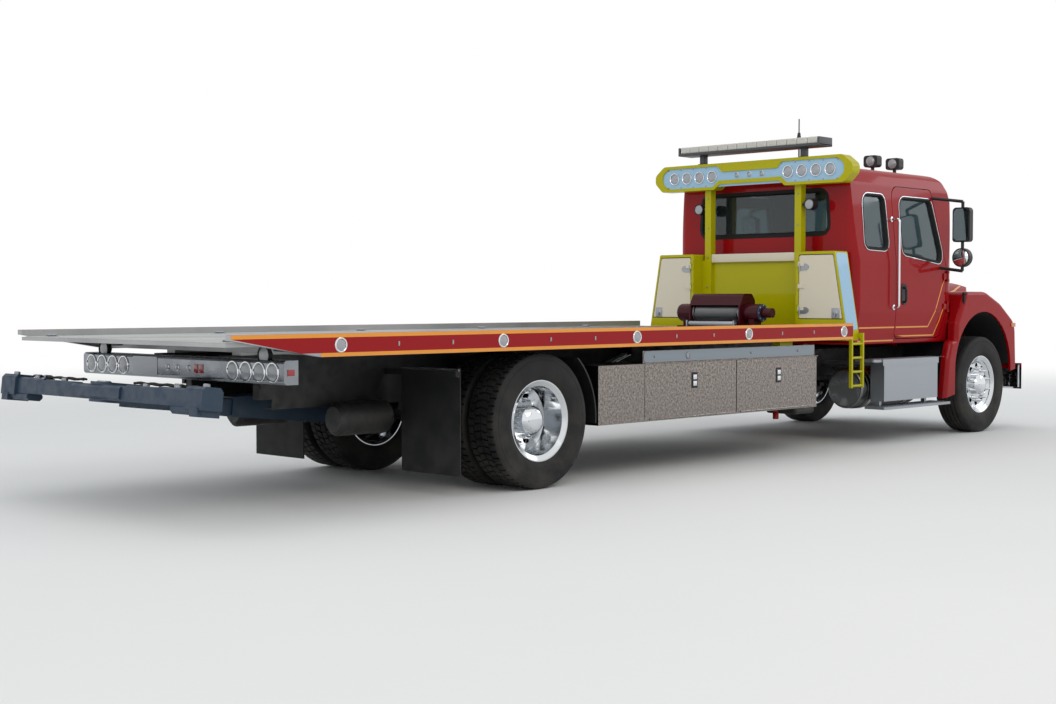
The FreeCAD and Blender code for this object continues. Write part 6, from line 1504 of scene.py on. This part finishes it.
lift = {"y": 5.288, "z": 0.787, "turn": math.radians(6.5), "edge": 0.016,
        "cover": ((-0.3, -0.07, -0.046), (0.3, 0.07, 0.046)),
        "plates": ((1.2268, 1.04, 0.006, 0.016), (1.03, 0.7, -0.01, 0), (0.68, 0.33, -0.012, -0.006)),
        "plate": (0.062, 0.042), "socket": ((1.2, -0.058, -0.098), (0.88, 0.062, -0.04)),
        "pins": ((1.157, 0.084), (0.86, 0.066), (0.5, 0.06)), "ringX": 0.86, "ringZ": 0.083, "ring": 0.024,
        "ringSteps": 18, "wire": 0.0035, "swivelZ": 0.06,
        "pin": [(-0.01, 0), (-0.01, 0.022), (0.01, 0.022), (0.014, 0.017), (0.014, 0)],
        "swivel": [(-0.01, 0), (-0.01, 0.048), (0.008, 0.048), (0.014, 0.04), (0.014, 0)]}
hose = {"runs": ((0.072, -0.03), (0.076, -0.05)), "start": 0.31, "long": 0.68, "steps": 16,
        "radius": 0.008,
        "sway": (0.006, 0.9), "sag": (0.003, 1.7),
        "clip": ((-0.012, -0.068, 0.054), (0.012, -0.014, 0.088)),
        "clipX": 0.8}
liftUp = (0, -math.sin(lift["turn"]), math.cos(lift["turn"]))


def onLift(x, y, z):    # a point given beside the crossbar's middle, swung up with the stowed lift
    c, s = math.cos(lift["turn"]), math.sin(lift["turn"])
    return x, lift["y"] + y * c - z * s, lift["z"] + y * s + z * c


# a block with chamfered long edges, swung up with the lift
def liftBox(work, low, high, cut=lift["edge"]):
    (a, b, c), (d, e, f) = low, high
    section = [(b + cut, c), (e - cut, c), (e, c + cut), (e, f - cut), (e - cut, f), (b + cut, f),
               (b, f - cut),
               (b, c + cut)]
    prism(work, [onLift(a, y, z) for y, z in section], (d - a, 0, 0))


def crossbarPlates(work):    # wear plates, end castings and the cover over the swivel
    liftBox(work, *lift["cover"])
    deep, tall = lift["plate"]
    for sign in sides.values():
        for a, b, grow, rise in lift["plates"]:
            low, high = sorted((sign * a, sign * b))
            liftBox(work, (low, -deep - grow, -tall - grow), (high, deep + grow, deep + rise))
        (a, *below), (b, *above) = lift["socket"]
        low, high = sorted((sign * a, sign * b))
        liftBox(work, (low, *below), (high, *above), 0.02)


def crossbarPins(work):    # locking pins with their pull rings, and the hinge pin's cap
    for sign in sides.values():
        for x, z in lift["pins"]:
            lathe(work, lift["pin"], onLift(sign * x, 0, z), liftUp, 20)
        path = [onLift(sign * (lift["ringX"] + lift["ring"] * c), lift["ring"] * s, lift["ringZ"])
                for c, s in (around(n, lift["ringSteps"]) for n in range(lift["ringSteps"] + 1))]
        tube(work, path, lift["wire"], 8)
    lathe(work, lift["swivel"], onLift(0, 0, lift["swivelZ"]), liftUp, 32)


def crossbarHoses(work, sign):    # hydraulic hoses lying along the top of each half of the crossbar
    (sway, often), (sag, bumps) = hose["sway"], hose["sag"]
    for rise, back in hose["runs"]:
        path = [onLift(sign * (hose["start"] + hose["long"] * n / hose["steps"]),
                       back - sway * math.sin(n * often),
                       rise + sag * math.sin(n * bumps)) for n in range(hose["steps"] + 1)]
        tube(work, path, hose["radius"], 10)


build("crossbarPlates", crossbarPlates, liftEnamel, "crossbar", 25)
build("crossbarPins", crossbarPins, steel, "crossbar")
build("crossbarHoses", bothWays(crossbarHoses), gasketRubber, "crossbar")
layRow("crossbarClips", shape("hoseClip", lambda work: liftBox(work, *hose["clip"], 0.006), 25), 2,
       (-hose["clipX"], 0, 0), (2 * hose["clipX"], 0, 0), steel, "crossbar")

(tankLow, tankHigh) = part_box("fuel_tanks")
tank = {"radius": (tankHigh[2] - tankLow[2]) / 2, "z": (tankHigh[2] + tankLow[2]) / 2, "low": tankLow[1],
        "long": tankHigh[1] - tankLow[1], "outer": tankHigh[0], "strapAt": (0.18, 0.82), "half": 0.024,
        "thick": 0.002}
drain = {"x": 1.05, "y": -0.78,
         "stem": [(0.405, 0), (0.405, 0.012), (0.44, 0.012), (0.446, 0.018), (0.446, 0)],
         "bowl": [(0.33, 0), (0.33, 0.022), (0.336, 0.027), (0.384, 0.027), (0.392, 0.022), (0.392, 0.014),
                  (0.408, 0.014), (0.408, 0)]}


def tankStraps(work, sign):    # rolled bands that hold each tank to its brackets
    half, inner, outer = tank["half"], tank["radius"] - tank["thick"], tank["radius"] + tank["thick"]
    for share in tank["strapAt"]:
        lathe(work, closedUp([(-half, inner), (-half, outer), (half, outer), (half, inner)]),
              (sign * (tank["outer"] - tank["radius"]), tank["low"] + tank["long"] * share, tank["z"]),
              (0, 1, 0), 56)


def drainCock(work, sign):    # red fitting under the toolboxes
    for word, steps in (("stem", 16), ("bowl", 24)):
        lathe(work, drain[word], (sign * drain["x"], drain["y"], 0), (0, 0, 1), steps)


build("tankStraps", bothWays(tankStraps), polishedAluminium, "truck")
build("drainCocks", bothWays(drainCock), redPaint, "truck")
print("underside done")


# floor, light and camera

stage = {"reach": 90, "near": 7.0, "far": 22.0, "world": 0.84, "lens": 52.44, "farthest": 300,
         "camera": (-8.923, 10.575, 1.383), "turn": (88.08, 0.0, 223.9)}
lights = {"keyLight": ((-11.0, 5.5, 9.0), (0, 0.5, 1.2), (9, 5), 380, "#fff8ee"),
          "rearLight": ((2.5, 14.0, 6.0), (0, 2.0, 1.2), (6, 4), 130, "#f2f6ff"),
          "topLight": ((1.0, 0.0, 11.0), (0, 0, 1.0), (12, 6), 120, "#ffffff"),
          "noseLight": ((-6.0, -12.0, 6.0), (0, -3.5, 1.4), (6, 4), 130, "#f2f6ff")}


# one for camera, glossy and transmission rays, nothing for those that light the truck
def watched(tree):
    rays = put(tree, "ShaderNodeLightPath").outputs
    seen = combine(tree, "MAXIMUM", rays["Is Camera Ray"], rays["Is Glossy Ray"])
    return combine(tree, "MAXIMUM", seen, rays["Is Transmission Ray"])


def floorFinish():
    # pale screed swept clean, with the slightest cloudiness
    material, tree, shader, place = startFinish("pale studio floor",
                                                {"Roughness": 0.85, "Specular IOR Level": 0.2})
    blendColours(tree, shader, mottle(tree, place, 0.4, 0, 1), "#e3e3e1", "#e5e5e3")
    away = put(tree, "ShaderNodeVectorMath", {"operation": "LENGTH"}, {0: place}).outputs["Value"]
    fade = spread(tree, away, {"From Min": stage["near"], "From Max": stage["far"],
                               "interpolation_type": "SMOOTHSTEP"})
    seen = combine(tree, "MULTIPLY", fade, watched(tree))
    white = put(tree, "ShaderNodeEmission",
                {"Color": colour("#ffffff"), "Strength": 1.0}).outputs["Emission"]
    mixed = put(tree, "ShaderNodeMixShader", None,
                {0: seen, 1: shader.outputs["BSDF"], 2: white}).outputs["Shader"]
    tree.links.new(mixed, tree.nodes["Material Output"].inputs["Surface"])
    return material


ground = bmesh.new()
ground.faces.new([ground.verts.new((x * stage["reach"], y * stage["reach"], 0))
                  for x, y in ((-1, -1), (1, -1), (1, 1), (-1, 1))])
floorMesh = bpy.data.meshes.new("studioFloor")
ground.to_mesh(floorMesh)
ground.free()
floorMesh.materials.append(floorFinish())
studioFloor = bpy.data.objects.new("studioFloor", floorMesh)
bpy.context.scene.collection.objects.link(studioFloor)

world = bpy.data.worlds.new("studio")
bpy.context.scene.world = world
world.use_nodes = True
sky = world.node_tree
sky.nodes.clear()
soft = put(sky, "ShaderNodeBackground", {"Color": colour("#eef2f6"), "Strength": stage["world"]})
white = put(sky, "ShaderNodeBackground", {"Color": colour("#ffffff"), "Strength": 1.0})
chosen = put(sky, "ShaderNodeMixShader", None, {0: watched(sky), 1: soft.outputs["Background"],
                                                2: white.outputs["Background"]})
put(sky, "ShaderNodeOutputWorld", None, {"Surface": chosen.outputs["Shader"]})


def softLight(name, place, target, size, power, tint):
    data = bpy.data.lights.new(name, "AREA")
    data.shape, data.size, data.size_y = "RECTANGLE", size[0], size[1]
    data.energy, data.color = power, colour(tint)[:3]
    item = bpy.data.objects.new(name, data)
    item.location = place
    item.rotation_euler = (Vector(target) - Vector(place)).to_track_quat("-Z", "Y").to_euler()
    bpy.context.scene.collection.objects.link(item)


for name, settings in lights.items():
    softLight(name, *settings)

lens = bpy.data.cameras.new("camera")
lens.sensor_width, lens.lens, lens.clip_end = 36.0, stage["lens"], stage["farthest"]
camera = bpy.data.objects.new("camera", lens)
camera.location = stage["camera"]
camera.rotation_euler = [math.radians(turn) for turn in stage["turn"]]
bpy.context.scene.collection.objects.link(camera)
bpy.context.scene.camera = camera
bpy.context.scene.view_settings.view_transform = "Standard"
print("camera and light set")
